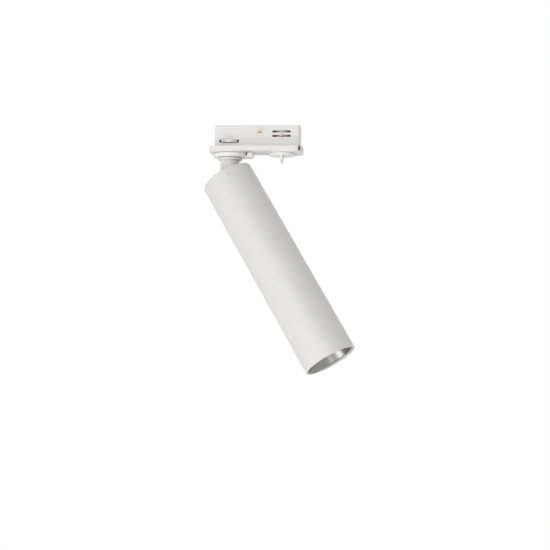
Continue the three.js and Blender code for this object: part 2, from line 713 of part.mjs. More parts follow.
// A leaf spring that spans the neck beside the drum, with a rib that clicks into its notches
function detentSpring() {
  const ribX = selectorX - DRUM_RADIUS - RUNNING_GAP - DETENT_NOTCH / 2;
  const low = NECK_FLOOR + FIT_GAP;
  const high = low + DETENT_HEIGHT - FIT_GAP;
  const half = neckInside - FIT_GAP;
  const leaf = block([ribX - DETENT_SPRING_THICKNESS, ribX], [-half, half], [low, high]);
  return leaf.add(rod(DETENT_NOTCH / 2, low, high, ribX, 0, TINY_ROUND));
}

// Swivel
function threadedTube() {
  return ring(TUBE_BORE_RADIUS, TUBE_RADIUS, threadBottom + FIT_GAP, tubeTop, SMALL_ROUND);
}

function frictionWasher() {
  const base = frictionWasherTop - FRICTION_WASHER_THICKNESS;
  return ring(TUBE_RADIUS + FIT_GAP, FRICTION_WASHER_RADIUS, base, frictionWasherTop);
}

function springWasher() {
  return ring(TUBE_RADIUS + FIT_GAP, WASHER_RADIUS, springWasherBase,
    springWasherBase + SPRING_WASHER_THICKNESS, SMALL_ROUND);
}

// Its tab meets the lug of the neck at either end of the pan
function stopWasher() {
  const top = stopWasherBase + STOP_WASHER_THICKNESS;
  const disc = rod(WASHER_RADIUS, stopWasherBase, top);
  const half = STOP_TAB_WIDTH / 2;
  const tab = block([TUBE_RADIUS, STOP_TAB_REACH], [-half, half], [stopWasherBase, top]);
  const hole = rod(TUBE_RADIUS + FIT_GAP, stopWasherBase - CUT_OVERRUN, top + CUT_OVERRUN);
  return without(disc.add(tab), [hole]);
}

function stemNut() {
  const top = nutBase + NUT_THICKNESS;
  const body = ring(TUBE_RADIUS + FIT_GAP, NUT_RADIUS, nutBase, top);
  const half = NUT_SLOT_WIDTH / 2;
  const reach = NUT_RADIUS + CUT_OVERRUN;
  const span = [top - NUT_SLOT_DEPTH, top + CUT_OVERRUN];
  return without(body, [
    block([-reach, reach], [-half, half], span),
    block([-half, half], [-reach, reach], span),
  ]);
}

// The stem ends in a ball-shaped eye round the hinge, with flats for the tilt washers
function stem() {
  const thread = TUBE_RADIUS + FIT_GAP;
  const eyeStart = Math.asin(STEM_BORE_RADIUS / STEM_RADIUS);
  const eye = copies(ARC_STEPS + 1, (step) => {
    const angle = quarterTurn - (quarterTurn - eyeStart) * (step / ARC_STEPS);
    return [STEM_RADIUS * Math.sin(angle), -PIVOT_DROP - STEM_RADIUS * Math.cos(angle)];
  });
  const tube = turned([
    [thread, flangeTop], [FLANGE_RADIUS, flangeTop], [FLANGE_RADIUS, flangeBottom],
    [STEM_RADIUS, flangeBottom], ...eye, [STEM_BORE_RADIUS, threadBottom], [thread, threadBottom],
    [thread, flangeTop],
  ]);
  const flats = [-1, 1].map((side) => block([-STEM_RADIUS, STEM_RADIUS],
    alongSide(side, STEM_FLAT, STEM_RADIUS + CUT_OVERRUN),
    [-PIVOT_DROP - STEM_RADIUS - CUT_OVERRUN, -PIVOT_DROP + TILT_WASHER_RADIUS + FIT_GAP]));
  const hole = crossRod(BOLT_RADIUS + RUNNING_GAP, [-FLANGE_RADIUS, FLANGE_RADIUS], 0, -PIVOT_DROP);
  return without(tube, [...flats, hole]);
}

function tiltWasher(side) {
  const span = alongSide(side, STEM_FLAT + FIT_GAP, SLOT_HALF_WIDTH - FIT_GAP);
  const hole = crossRod(BOLT_RADIUS + RUNNING_GAP, [-FLANGE_RADIUS, FLANGE_RADIUS], 0, -PIVOT_DROP);
  return without(crossRod(TILT_WASHER_RADIUS, span, 0, -PIVOT_DROP), [hole]);
}

// The mains lead runs down the threaded tube, and beside the hinge bolt in the stem's eye
const leadBesideBolt = -(BOLT_RADIUS + 2 * RUNNING_GAP + MAINS_LEAD_RADIUS);
const stemLeadEnd = STEM_RADIUS - 2 * MAINS_LEAD_RADIUS;

function stemLead() {
  const spread = THREAD_DEPTH + STEM_BORE_RADIUS;
  return lead([
    [0, 0, tubeTop + TUBE_SPARE],
    [0, 0, (tubeTop + threadBottom) / 2],
    [0, 0, threadBottom],
    [leadBesideBolt / 2, 0, threadBottom - spread / 2],
    [leadBesideBolt, 0, threadBottom - spread],
    [leadBesideBolt, 0, -PIVOT_DROP],
    [leadBesideBolt, 0, -PIVOT_DROP - stemLeadEnd],
  ], MAINS_LEAD_RADIUS);
}

function adapterLead() {
  const start = tubeTop + TUBE_SPARE + RUNNING_GAP;
  const crest = coverBase - MAINS_LEAD_RADIUS - FIT_GAP;
  const dropX = NUT_RADIUS + 2 * MAINS_LEAD_RADIUS;
  return lead([
    [0, 0, start],
    [0, 0, start + MAINS_LEAD_RADIUS / 2],
    [dropX / 2, 0, crest],
    [dropX, 0, (crest + leadEntryZ) / 2],
    [(dropX + blockStart) / 2, 0, leadEntryZ],
    [blockStart + FIT_GAP, 0, leadEntryZ],
  ], MAINS_LEAD_RADIUS);
}

// Head, in the tube's frame: its axis is upright, and the hinge is beside the axis at height zero
const grubZ = HEAD_RISE - GRUB_DROP;
const grubAngles = copies(GRUB_COUNT, (index) => Math.PI + (index * 2 * Math.PI) / GRUB_COUNT);

function radialRod(radius, near, far, angle, z) {
  return moved(lengthRod(radius, [near, far], 0, z, TINY_ROUND), { turn: angle });
}

function tubeHousing() {
  const shell = turned([
    [boreRadius, mouth], [HEAD_RADIUS - HEAD_EDGE, mouth], [HEAD_RADIUS, mouth + HEAD_EDGE],
    [HEAD_RADIUS, HEAD_RISE - HEAD_EDGE], [HEAD_RADIUS - HEAD_EDGE, HEAD_RISE],
    [boreRadius, HEAD_RISE], [boreRadius, mouth],
  ], WIDE_ROUND);
  const holes = grubAngles.map((angle) => radialRod(GRUB_RADIUS + FIT_GAP, boreRadius - CUT_OVERRUN,
    HEAD_RADIUS + CUT_OVERRUN, angle, grubZ));
  return without(shell, holes);
}

const boltHeadEnd = -(cheekOuter + FIT_GAP + BOLT_HEAD_HEIGHT);
const boltEnd = cheekOuter + FIT_GAP + HINGE_NUT_HEIGHT + BOLT_SPARE;

function topCap() {
  const middle = capUnderside + CAP_THICKNESS / 2;
  const skirtBottom = capUnderside - SKIRT_DROP;
  const hingeRange = [-HEAD_RADIUS, HEAD_RADIUS];
  const disc = rod(capRadius, capUnderside, capTop, 0, 0, WIDE_ROUND);
  const skirt = ring(skirtRadius, capRadius, skirtBottom, middle, WIDE_ROUND);
  const slot = [
    block([hingeX, HEAD_RADIUS], [-SLOT_HALF_WIDTH, SLOT_HALF_WIDTH],
      [skirtBottom - CUT_OVERRUN, capTop + CUT_OVERRUN]),
    rod(SLOT_HALF_WIDTH, skirtBottom, capTop + CUT_OVERRUN, hingeX, 0, ROUND),
  ];
  const cheeks = [-1, 1].map((side) => {
    const span = alongSide(side, SLOT_HALF_WIDTH, cheekOuter);
    const plate = block([hingeX - CHEEK_RADIUS, hingeX + CHEEK_RADIUS], span, [0, middle]);
    return plate.add(crossRod(CHEEK_RADIUS, span, hingeX, 0));
  });
  const lug = block([lugOuter, lugInner], [-LUG_HALF_WIDTH, LUG_HALF_WIDTH],
    [-CHEEK_RADIUS, middle]);
  const body = joined([without(disc.add(skirt), slot), ...cheeks, lug]);
  return without(body, [
    crossRod(BOLT_RADIUS + FIT_GAP, hingeRange, hingeX, 0),
    crossRod(BOLT_HEAD_RADIUS + FIT_GAP, [boltHeadEnd - RUNNING_GAP, -cheekOuter], hingeX, 0),
    crossRod(HINGE_NUT_RADIUS + FIT_GAP, [cheekOuter, boltEnd + RUNNING_GAP], hingeX, 0),
    lengthRod(M3_RADIUS + FIT_GAP, [-HEAD_RADIUS, lugInner + CUT_OVERRUN], 0, -SPINE_SCREW_DROP,
      TINY_ROUND),
    ...grubAngles.map((angle) => radialRod(GRUB_RADIUS + FIT_GAP, skirtRadius - CUT_OVERRUN, HEAD_RADIUS,
      angle, grubZ)),
  ]);
}

// Headless screws in the tube's wall, each with a small key socket
function capScrew(angle) {
  const outer = HEAD_RADIUS - GRUB_RECESS;
  const body = radialRod(GRUB_RADIUS, outer - GRUB_LENGTH, outer, angle, grubZ);
  const socket = radialRod(GRUB_SOCKET_RADIUS, outer - GRUB_SOCKET_DEPTH, outer + CUT_OVERRUN, angle, grubZ);
  return without(body, [socket]);
}

function hingeBolt() {
  const headFace = -(cheekOuter + FIT_GAP);
  const shaft = crossRod(BOLT_RADIUS, [headFace - BOLT_HEAD_HEIGHT / 2, boltEnd], hingeX, 0);
  const head = crossRod(BOLT_HEAD_RADIUS, [boltHeadEnd, headFace], hingeX, 0);
  const socket = crossRod(BOLT_SOCKET_RADIUS, [boltHeadEnd - CUT_OVERRUN, boltHeadEnd + BOLT_SOCKET_DEPTH],
    hingeX, 0, HEX_SIDES);
  return without(shaft.add(head), [socket]);
}

function hingeNut() {
  const low = cheekOuter + FIT_GAP;
  const body = crossRod(HINGE_NUT_RADIUS, [low, low + HINGE_NUT_HEIGHT], hingeX, 0, HEX_SIDES);
  const hole = crossRod(BOLT_RADIUS + FIT_GAP, [low - CUT_OVERRUN, low + HINGE_NUT_HEIGHT + CUT_OVERRUN],
    hingeX, 0);
  return without(body, [hole]);
}

// The spine hangs from the cap's lug and ends in a foot on the heat sink
const spineTop = capUnderside - SPINE_TOP;
const footBottom = sinkTop + FIT_GAP;
const footTop = footBottom + SPINE_THICKNESS;
const footEnd = FOOT_MARGIN - FOOT_SCREW_REACH;
const driverBottom = sinkTop + DRIVER_FOOT_ROOM;
const earMiddles = [-DRIVER_DROP + DRIVER_EAR / 2, driverBottom - DRIVER_EAR / 2];

function spine() {
  const half = SPINE_WIDTH / 2;
  const bar = block([spineOuter, spineInner], [-half, half], [footBottom, spineTop]);
  const foot = block([spineOuter, footEnd], [-half, half], [footBottom, footTop]);
  const span = [spineOuter - CUT_OVERRUN, spineInner + CUT_OVERRUN];
  const wallHoles = [-SPINE_SCREW_DROP, ...earMiddles].map((z) =>
    lengthRod(M3_RADIUS + FIT_GAP, span, 0, z, TINY_ROUND));
  const footHoles = [-1, 1].map((side) => rod(M3_RADIUS + FIT_GAP, footBottom - CUT_OVERRUN,
    footTop + CUT_OVERRUN, -FOOT_SCREW_REACH, side * FOOT_SCREW_REACH, TINY_ROUND));
  return without(bar.add(foot), [...wallHoles, ...footHoles]);
}

// A screw that lies along X, with its head at the place given and its tip on the side given
function sideScrew(headFace, tipSide, z) {
  const reach = [headFace, headFace + tipSide * M3_LENGTH].sort((a, b) => a - b);
  const headSpan = [headFace - tipSide * M3_HEAD_HEIGHT, headFace].sort((a, b) => a - b);
  return lengthRod(M3_RADIUS, reach, 0, z, TINY_ROUND).add(lengthRod(M3_HEAD_RADIUS, headSpan, 0, z));
}

function topSpineScrew() {
  return sideScrew(spineOuter - STACK_GAP, 1, -SPINE_SCREW_DROP);
}

function footScrew(side) {
  const [x, y] = [-FOOT_SCREW_REACH, side * FOOT_SCREW_REACH];
  const low = footTop + STACK_GAP;
  const shank = rod(M3_RADIUS, low - M3_LENGTH, low, x, y, TINY_ROUND);
  return shank.add(rod(M3_HEAD_RADIUS, low, low + M3_HEAD_HEIGHT, x, y));
}

// Driver: an open case with two ears, its lid, and a board with its parts
const driverBack = lugOuter;
const driverFront = driverBack + DRIVER_DEPTH;
const driverHalf = Math.sqrt((boreRadius - DRIVER_CLEARANCE) ** 2 - driverBack ** 2);
const lidBack = driverFront - LID_THICKNESS;
const roomBack = driverBack + DRIVER_WALL;
const roomHalf = driverHalf - DRIVER_WALL;
const roomTop = -DRIVER_DROP - DRIVER_WALL;
const roomBottom = driverBottom + DRIVER_WALL;
const roomLength = roomTop - roomBottom;
const earThickness = 1.5 * DRIVER_WALL;
const boardBack = roomBack + STANDOFF_HEIGHT + FIT_GAP;
const boardFront = boardBack + BOARD_THICKNESS;
const partsBack = boardFront + FIT_GAP;
const terminalMiddle = partsBack + TERMINAL_HEIGHT / 2;

function driverCase() {
  const width = [-driverHalf, driverHalf];
  const box = block([driverBack, lidBack - FIT_GAP], width, [driverBottom, -DRIVER_DROP]);
  const room = block([roomBack, driverFront], [-roomHalf, roomHalf], [roomBottom, roomTop]);
  const earHalf = SPINE_WIDTH / 2;
  const ears = earMiddles.map((z) => block([driverBack, driverBack + earThickness], [-earHalf, earHalf],
    [z - DRIVER_EAR / 2 - DRIVER_WALL / 2, z + DRIVER_EAR / 2 + DRIVER_WALL / 2]));
  const standoffs = [];
  for (const y of [-1, 1]) {
    for (const z of [roomTop - STANDOFF_INSET, roomBottom + STANDOFF_INSET]) {
      standoffs.push(lengthRod(STANDOFF_RADIUS, [driverBack + DRIVER_WALL / 2, roomBack + STANDOFF_HEIGHT],
        y * (roomHalf - STANDOFF_INSET), z, TINY_ROUND));
    }
  }
  const whole = joined([without(box, [room]), ...ears, ...standoffs]);
  const earHoles = earMiddles.map((z) => lengthRod(M3_RADIUS + FIT_GAP,
    [driverBack - CUT_OVERRUN, driverBack + earThickness + CUT_OVERRUN], 0, z, TINY_ROUND));
  const mainsHole = rod(MAINS_LEAD_RADIUS + RUNNING_GAP, roomTop - CUT_OVERRUN, CUT_OVERRUN - DRIVER_DROP,
    terminalMiddle, 0, TINY_ROUND);
  const ledHole = rod(LED_LEAD_RADIUS + 2 * RUNNING_GAP, driverBottom - CUT_OVERRUN,
    roomBottom + CUT_OVERRUN, terminalMiddle, 0, TINY_ROUND);
  return without(whole, [...earHoles, mainsHole, ledHole]);
}

function driverLid() {
  const plate = block([lidBack, driverFront], [-driverHalf, driverHalf], [driverBottom, -DRIVER_DROP]);
  const outer = roomHalf - FIT_GAP;
  const inner = outer - LID_THICKNESS;
  const lipBack = lidBack - LID_THICKNESS;
  const lip = block([lipBack, driverFront - LID_THICKNESS / 2], [-outer, outer],
    [roomBottom + FIT_GAP, roomTop - FIT_GAP]);
  const hollow = block([lipBack - CUT_OVERRUN, lidBack], [-inner, inner],
    [roomBottom + FIT_GAP + LID_THICKNESS, roomTop - FIT_GAP - LID_THICKNESS]);
  return plate.add(without(lip, [hollow]));
}

function driverBoard() {
  const half = roomHalf - BOARD_MARGIN;
  return block([boardBack, boardFront], [-half, half], [roomBottom + BOARD_MARGIN, roomTop - BOARD_MARGIN]);
}

function transformer() {
  const half = TRANSFORMER_WIDTH / 2;
  const front = partsBack + TRANSFORMER_HEIGHT;
  const top = roomTop - driverPartShares.transformerTop * roomLength;
  const bottom = top - driverPartShares.transformerLength * roomLength;
  const core = block([partsBack, front], [-half, half], [bottom, top]);
  const winding = lengthRod(driverPartShares.windingRadius * roomLength,
    [partsBack + WINDING_PROUD, front + WINDING_PROUD], 0, (top + bottom) / 2, ROUND);
  return core.add(winding);
}

function capacitor() {
  const top = roomTop - driverPartShares.capacitorTop * roomLength;
  return rod(CAPACITOR_RADIUS, top - driverPartShares.capacitorLength * roomLength, top,
    partsBack + CAPACITOR_RADIUS, 0);
}

function choke() {
  const top = roomTop - driverPartShares.chokeTop * roomLength;
  return rod(CHOKE_RADIUS, top - driverPartShares.chokeLength * roomLength, top,
    partsBack + CHOKE_RADIUS, 0);
}

const terminalInset = driverPartShares.terminalInset * roomLength;
const terminalLength = driverPartShares.terminalLength * roomLength;
const terminalTops = [roomTop - terminalInset, roomBottom + terminalInset + terminalLength];

function boardTerminal(top) {
  return block([partsBack, partsBack + TERMINAL_HEIGHT], [-TERMINAL_WIDTH / 2, TERMINAL_WIDTH / 2],
    [top - terminalLength, top]);
}

function driverScrew(z) {
  return sideScrew(driverBack + earThickness + STACK_GAP, -1, z);
}

// The mains lead from the hinge into the driver
function driverLead() {
  const startX = lugInner + MAINS_LEAD_RADIUS + RUNNING_GAP;
  return lead([
    [startX, 0, -(CHEEK_RADIUS + RUNNING_GAP)],
    [startX, 0, -(CHEEK_RADIUS + 2 * MAINS_LEAD_RADIUS)],
    [(startX + terminalMiddle) / 2, 0, -(CHEEK_RADIUS + MAINS_LEAD_RADIUS + DRIVER_DROP) / 2],
    [terminalMiddle, 0, DRIVER_WALL - DRIVER_DROP],
    [terminalMiddle, 0, terminalTops[0] + FIT_GAP],
  ], MAINS_LEAD_RADIUS);
}

// The low-voltage lead from the driver, down between two fins and under the edge of the LED board
function ledLead() {
  const gapHeight = driverBottom - footTop;
  const underBoard = boardTop - LED_BOARD_THICKNESS - LED_LEAD_RADIUS - FIT_GAP;
  return lead([
    [terminalMiddle, 0, roomBottom + terminalInset - FIT_GAP],
    [terminalMiddle, 0, driverBottom - LED_LEAD_RADIUS],
    [(terminalMiddle + LED_LEAD_REACH) / 2, 0, driverBottom - gapHeight / 2],
    [LED_LEAD_REACH, 0, sinkTop],
    [LED_LEAD_REACH, 0, (sinkTop + sinkBottom) / 2],
    [LED_LEAD_REACH, 0, sinkBottom + SINK_BASE / 2],
    [LED_LEAD_REACH, 0, boardTop - FIT_GAP],
    [LED_BOARD_SIZE / 2, 0, underBoard],
  ], LED_LEAD_RADIUS);
}

// Heat sink: a core with fins all round, on a solid base
function heatSink() {
  const star = new THREE.Shape();
  const half = SINK_FIN_THICKNESS / 2;
  const corner = (radius, angle, side) => {
    const spread = angle + side * Math.asin(half / radius);
    return [radius * Math.cos(spread), radius * Math.sin(spread)];
  };
  for (let fin = 0; fin < FIN_COUNT; fin += 1) {
    const angle = ((fin + 1 / 2) * 2 * Math.PI) / FIN_COUNT;
    const points = [
      corner(SINK_CORE_RADIUS, angle, -1), corner(sinkRadius, angle, -1),
      corner(sinkRadius, angle, 1), corner(SINK_CORE_RADIUS, angle, 1),
    ];
    points.forEach((point, index) => {
      if (fin + index === 0) star.moveTo(...point);
      else star.lineTo(...point);
    });
  }
  star.closePath();
  const fins = prism(star, sinkBottom + SINK_BASE / 2, sinkTop);
  const base = rod(sinkRadius, sinkBottom, sinkBottom + SINK_BASE, 0, 0, WIDE_ROUND);
  const footHoles = [-1, 1].map((side) => rod(M3_RADIUS + FIT_GAP, sinkTop - M3_LENGTH,
    sinkTop + CUT_OVERRUN, -FOOT_SCREW_REACH, side * FOOT_SCREW_REACH, TINY_ROUND));
  const holderHoles = [-1, 1].map((side) => rod(M3_RADIUS + FIT_GAP, sinkBottom - CUT_OVERRUN,
    sinkBottom + SINK_BASE - CUT_OVERRUN, 0, side * HOLDER_SCREW_OFFSET, TINY_ROUND));
  const leadHole = rod(LED_LEAD_RADIUS + RUNNING_GAP, sinkBottom - CUT_OVERRUN,
    sinkBottom + SINK_BASE + CUT_OVERRUN, LED_LEAD_REACH, 0, TINY_ROUND);
  return without(fins.add(base), [...footHoles, ...holderHoles, leadHole]);
}

function ledBoard() {
  const half = LED_BOARD_SIZE / 2;
  return block([-half, half], [-half, half], [boardTop - LED_BOARD_THICKNESS, boardTop]);
}

function ledChip() {
  const top = boardTop - LED_BOARD_THICKNESS - STACK_GAP;
  return rod(LED_RADIUS, top - LED_THICKNESS, top, 0, 0, ROUND);
}

function ledHolder() {
  const body = ring(HOLDER_BORE_RADIUS, HOLDER_RADIUS, holderBottom, boardTop);
  const half = LED_BOARD_SIZE / 2 + FIT_GAP;
  const pocket = block([-half, half], [-half, half],
    [boardTop - LED_BOARD_THICKNESS - FIT_GAP, boardTop + CUT_OVERRUN]);
  const notchEnd = LED_LEAD_REACH + LED_LEAD_RADIUS + RUNNING_GAP;
  const notch = block([0, notchEnd], [-HOLDER_NOTCH_WIDTH / 2, HOLDER_NOTCH_WIDTH / 2],
    [boardTop - HOLDER_NOTCH_DEPTH, boardTop + CUT_OVERRUN]);
  const screwHoles = [-1, 1].flatMap((side) => {
    const y = side * HOLDER_SCREW_OFFSET;
    return [
      rod(M3_RADIUS + FIT_GAP, holderBottom - CUT_OVERRUN, boardTop + CUT_OVERRUN, 0, y, TINY_ROUND),
      rod(M3_HEAD_RADIUS + FIT_GAP, holderBottom - CUT_OVERRUN, holderBottom + M3_HEAD_HEIGHT, 0, y),
    ];
  });
  return without(body, [pocket, notch, ...screwHoles]);
}

function holderScrew(side) {
  const y = side * HOLDER_SCREW_OFFSET;
  const seat = holderBottom + M3_HEAD_HEIGHT - STACK_GAP;
  const head = rod(M3_HEAD_RADIUS, seat - M3_HEAD_HEIGHT, seat, 0, y);
  return head.add(rod(M3_RADIUS, seat, seat + M3_LENGTH, 0, y, TINY_ROUND));
}

// Reflector: a parabola of revolution with a short neck at the light source
function reflector() {
  const rimRadius = boreRadius - FIT_GAP - REFLECTOR_WALL;
  const curve = copies(REFLECTOR_STEPS + 1, (step) => {
    const share = step / REFLECTOR_STEPS;
    const square = REFLECTOR_THROAT_RADIUS ** 2 + (rimRadius ** 2 - REFLECTOR_THROAT_RADIUS ** 2) * share;
    return [Math.sqrt(square), throat + (rim - throat) * share];
  });
  const inside = [[REFLECTOR_THROAT_RADIUS, neckTop], ...curve];
  const outside = inside.map(([radius, z]) => [radius + REFLECTOR_WALL, z]).reverse();
  return turned([...inside, ...outside, inside[0]], WIDE_ROUND);
}

// Assembly
function named(name, solid, material) {
  const geometry = geometryOf(solid);
  geometry.computeVertexNormals();
  const mesh = new THREE.Mesh(geometry, material);
  mesh.name = name;
  return mesh;
}

// One mesh for each of a row of like pieces, numbered from one
function series(name, places, make, material) {
  return places.map((place, index) => named(`${name}_${index + 1}`, make(place), material));
}

const sides = [-1, 1];

const adapter = new THREE.Group();
adapter.add(
  named("base_plate", basePlate(), adapterPlastic),
  named("corner_catch", cornerCatch(), darkPlastic),
  named("track_housing", trackHousing(), adapterPlastic),
  named("housing_cover", housingCover(), adapterPlastic),
  ...series("cover_screw", coverScrews, coverScrew, steel),
  named("terminal_block", terminalBlock(), innerPlastic),
  named("neutral_contact", contactBlade(neutralPlace), copper),
  named("earth_contact", contactBlade(earthPlace), copper),
  named("detent_spring", detentSpring(), steel),
  named("adapter_lead", adapterLead(), leadJacket),
);

const lever = new THREE.Group();
lever.add(
  named("lock_lever", lockLever(), leverPlastic),
  named("lock_cam", lockCam(), steel),
);

const selector = new THREE.Group();
selector.position.x = selectorX;
selector.add(
  named("selector_knob", selectorKnob(), leverPlastic),
  named("contact_drum", contactDrum(), innerPlastic),
  ...series("phase_contact", fingers, (finger) => fingerBar(finger, 0), copper),
);

const tube = new THREE.Group();
tube.position.x = -hingeX;
tube.add(
  named("tube_housing", tubeHousing(), powderCoat),
  named("top_cap", topCap(), powderCoat),
  ...series("cap_screw", grubAngles, capScrew, powderCoat),
  named("hinge_bolt", hingeBolt(), steel),
  named("hinge_nut", hingeNut(), steel),
  named("spine", spine(), aluminium),
  named("spine_screw_top", topSpineScrew(), steel),
  ...series("spine_screw_foot", sides, footScrew, steel),
  named("driver_case", driverCase(), innerPlastic),
  named("driver_lid", driverLid(), innerPlastic),
  named("driver_board", driverBoard(), boardGreen),
  ...series("driver_screw", earMiddles, driverScrew, steel),
  named("transformer", transformer(), brass),
  named("capacitor", capacitor(), darkPlastic),
  named("choke_coil", choke(), copper),
  ...series("board_terminal", terminalTops, boardTerminal, innerPlastic),
  named("driver_lead", driverLead(), leadJacket),
  named("led_lead", ledLead(), leadJacket),
  named("heat_sink", heatSink(), aluminium),
  named("led_board", ledBoard(), whiteBoard),
  named("led_chip", ledChip(), phosphor),
  named("led_holder", ledHolder(), innerPlastic),
  ...series("holder_screw", sides, holderScrew, steel),
  named("reflector", reflector(), mirror),
);

// The head hangs on the hinge of the swivel, which turns under the adapter
const head = new THREE.Group();
head.position.z = -PIVOT_DROP;
head.rotation.y = -TILT_AT_REST;
head.add(tube);

const swivel = new THREE.Group();
swivel.rotation.z = PAN_AT_REST;
swivel.add(
  named("stem", stem(), powderCoat),
  named("threaded_tube", threadedTube(), steel),
  named("friction_washer", frictionWasher(), innerPlastic),
  named("spring_washer", springWasher(), steel),
  named("stop_washer", stopWasher(), steel),
  named("stem_nut", stemNut(), steel),
  ...series("tilt_washer", sides, tiltWasher, innerPlastic),
  named("stem_lead", stemLead(), leadJacket),
  head,
);

const spotlight = new THREE.Group();
spotlight.add(adapter, lever, selector, swivel);

export default spotlight;
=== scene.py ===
# Looks of the track spotlight: finely rounded pieces, finishes, studio light and camera.
# Metres, +Z up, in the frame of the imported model. All pieces take their sizes from its solids.
import json
import math

import bmesh
import bpy
from mathutils import Matrix, Vector


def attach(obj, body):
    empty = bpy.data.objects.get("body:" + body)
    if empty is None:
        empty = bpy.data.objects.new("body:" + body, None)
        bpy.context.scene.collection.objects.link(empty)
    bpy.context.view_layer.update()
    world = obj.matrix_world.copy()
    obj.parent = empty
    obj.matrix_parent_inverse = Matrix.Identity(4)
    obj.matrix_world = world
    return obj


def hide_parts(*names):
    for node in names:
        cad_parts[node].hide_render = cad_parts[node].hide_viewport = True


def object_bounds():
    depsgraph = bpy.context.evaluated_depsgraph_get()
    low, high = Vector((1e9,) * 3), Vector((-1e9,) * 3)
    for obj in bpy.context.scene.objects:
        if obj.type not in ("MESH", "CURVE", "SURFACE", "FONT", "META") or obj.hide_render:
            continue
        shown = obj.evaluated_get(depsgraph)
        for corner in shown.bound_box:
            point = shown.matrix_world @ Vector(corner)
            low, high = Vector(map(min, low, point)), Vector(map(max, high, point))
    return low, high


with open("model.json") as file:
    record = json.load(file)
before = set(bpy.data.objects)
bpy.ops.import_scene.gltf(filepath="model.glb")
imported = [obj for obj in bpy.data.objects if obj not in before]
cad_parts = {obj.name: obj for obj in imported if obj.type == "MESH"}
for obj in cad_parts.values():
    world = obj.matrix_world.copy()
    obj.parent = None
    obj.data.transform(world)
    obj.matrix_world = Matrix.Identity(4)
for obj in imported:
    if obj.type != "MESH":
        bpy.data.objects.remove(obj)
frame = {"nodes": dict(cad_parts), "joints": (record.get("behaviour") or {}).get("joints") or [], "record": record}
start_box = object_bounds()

MM = 0.001
UP = Vector((0, 0, 1))

# Spaces round a piece that sits in another, and round one that turns in it
FIT_GAP = 0.2 * MM
RUN_GAP = 0.3 * MM

# Corners nearer than this count as one, by height or by place
SAME_HEIGHT = 0.02 * MM
SAME_POINT = 0.002 * MM

# How far a search looks above and below a level, how thick a layer is that holds a face with its
# softened edge, and how far a search looks that has no limit
PROBE = 0.1 * MM
LAYER = 1.0 * MM
FAR = 1.0

# How far a cutter runs past the faces that it opens
CUT_OVERRUN = 1.0 * MM

# Sides of turned pieces, and steps of arcs and rounded edges
ROUND_SIDES = 160
HOLE_SIDES = 96
SMALL_SIDES = 64
CUTTER_SIDES = 48
ARC_STEPS = 6
CORNER_STEPS = 16
EDGE_STEPS = 4


# Places

def axes(x_axis, y_axis, z_axis, origin):
    """The matrix of a place with these axes and origin."""
    turn = Matrix((x_axis, y_axis, z_axis)).transposed()
    return Matrix.Translation(origin) @ turn.to_4x4()


def find_places():
    """Each body's own place at rest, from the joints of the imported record."""
    joints = {joint["name"]: joint for joint in frame["joints"]}
    tilt = joints["tilt"]
    across = -Vector(tilt["axis"]).normalized()
    along = across.cross(UP)
    lean = math.radians(-tilt["range_deg"][0])
    lengthwise = Matrix.Rotation(-lean, 3, across)
    hinge = axes(lengthwise @ along, across, lengthwise @ UP, Vector(tilt["pos_m"]))
    low, high = extent("tube_housing", hinge)
    middle = Vector(((low.x + high.x) / 2, (low.y + high.y) / 2, 0))
    return {
        "adapter": Matrix.Identity(4),
        "selector": Matrix.Translation(Vector((joints["selector_turn"]["pos_m"][0], 0, 0))),
        "swivel": axes(along, across, UP, Vector((0, 0, 0))),
        "tube": hinge @ Matrix.Translation(middle),
        "pivot": -tilt["pos_m"][2],
    }


def local_points(node, place, low=-FAR, high=FAR):
    """Corners of a CAD node in a place's own axes, between two heights there."""
    back = place.inverted()
    points = [back @ corner.co for corner in frame["nodes"][node].data.vertices]
    return [point for point in points if low <= point.z <= high]


def extent(node, place, low=-FAR, high=FAR):
    """Lowest and highest corner of a CAD node in a place's own axes."""
    points = local_points(node, place, low, high)
    return (Vector([min(point[axis] for point in points) for axis in range(3)]),
            Vector([max(point[axis] for point in points) for axis in range(3)]))


def radii(node, place, low=-FAR, high=FAR):
    """Smallest and largest distance of a CAD node's corners from the place's upright axis."""
    lengths = [point.xy.length for point in local_points(node, place, low, high)]
    return min(lengths), max(lengths)


def near(level):
    """The two heights between which the corners at a level are looked for."""
    return level - PROBE, level + PROBE


def heights(node, place):
    """The heights at which a CAD node has corners, from the lowest up."""
    found = []
    for height in sorted(point.z for point in local_points(node, place)):
        if not found or height - found[-1] > SAME_HEIGHT:
            found.append(height)
    return found


def highest_under(node, place, limit):
    """The highest of a CAD node's heights that lies under a limit."""
    return max(height for height in heights(node, place) if height < limit)


def half_width(node, place):
    """Half of a CAD node's size along the place's X axis."""
    low, high = extent(node, place)
    return (high.x - low.x) / 2


def shank_radius(node, place):
    """The radius of a bolt or screw at the low end of the place's upright axis."""
    return radii(node, place, *near(extent(node, place)[0].z))[1]


# Outlines

def arc(centre, radius, first, last, steps):
    """Points on an arc round (x, y), from one angle to another in degrees."""
    turns = [math.radians(first + (last - first) * step / steps) for step in range(steps + 1)]
    return [Vector((centre[0] + radius * math.cos(turn), centre[1] + radius * math.sin(turn)))
            for turn in turns]


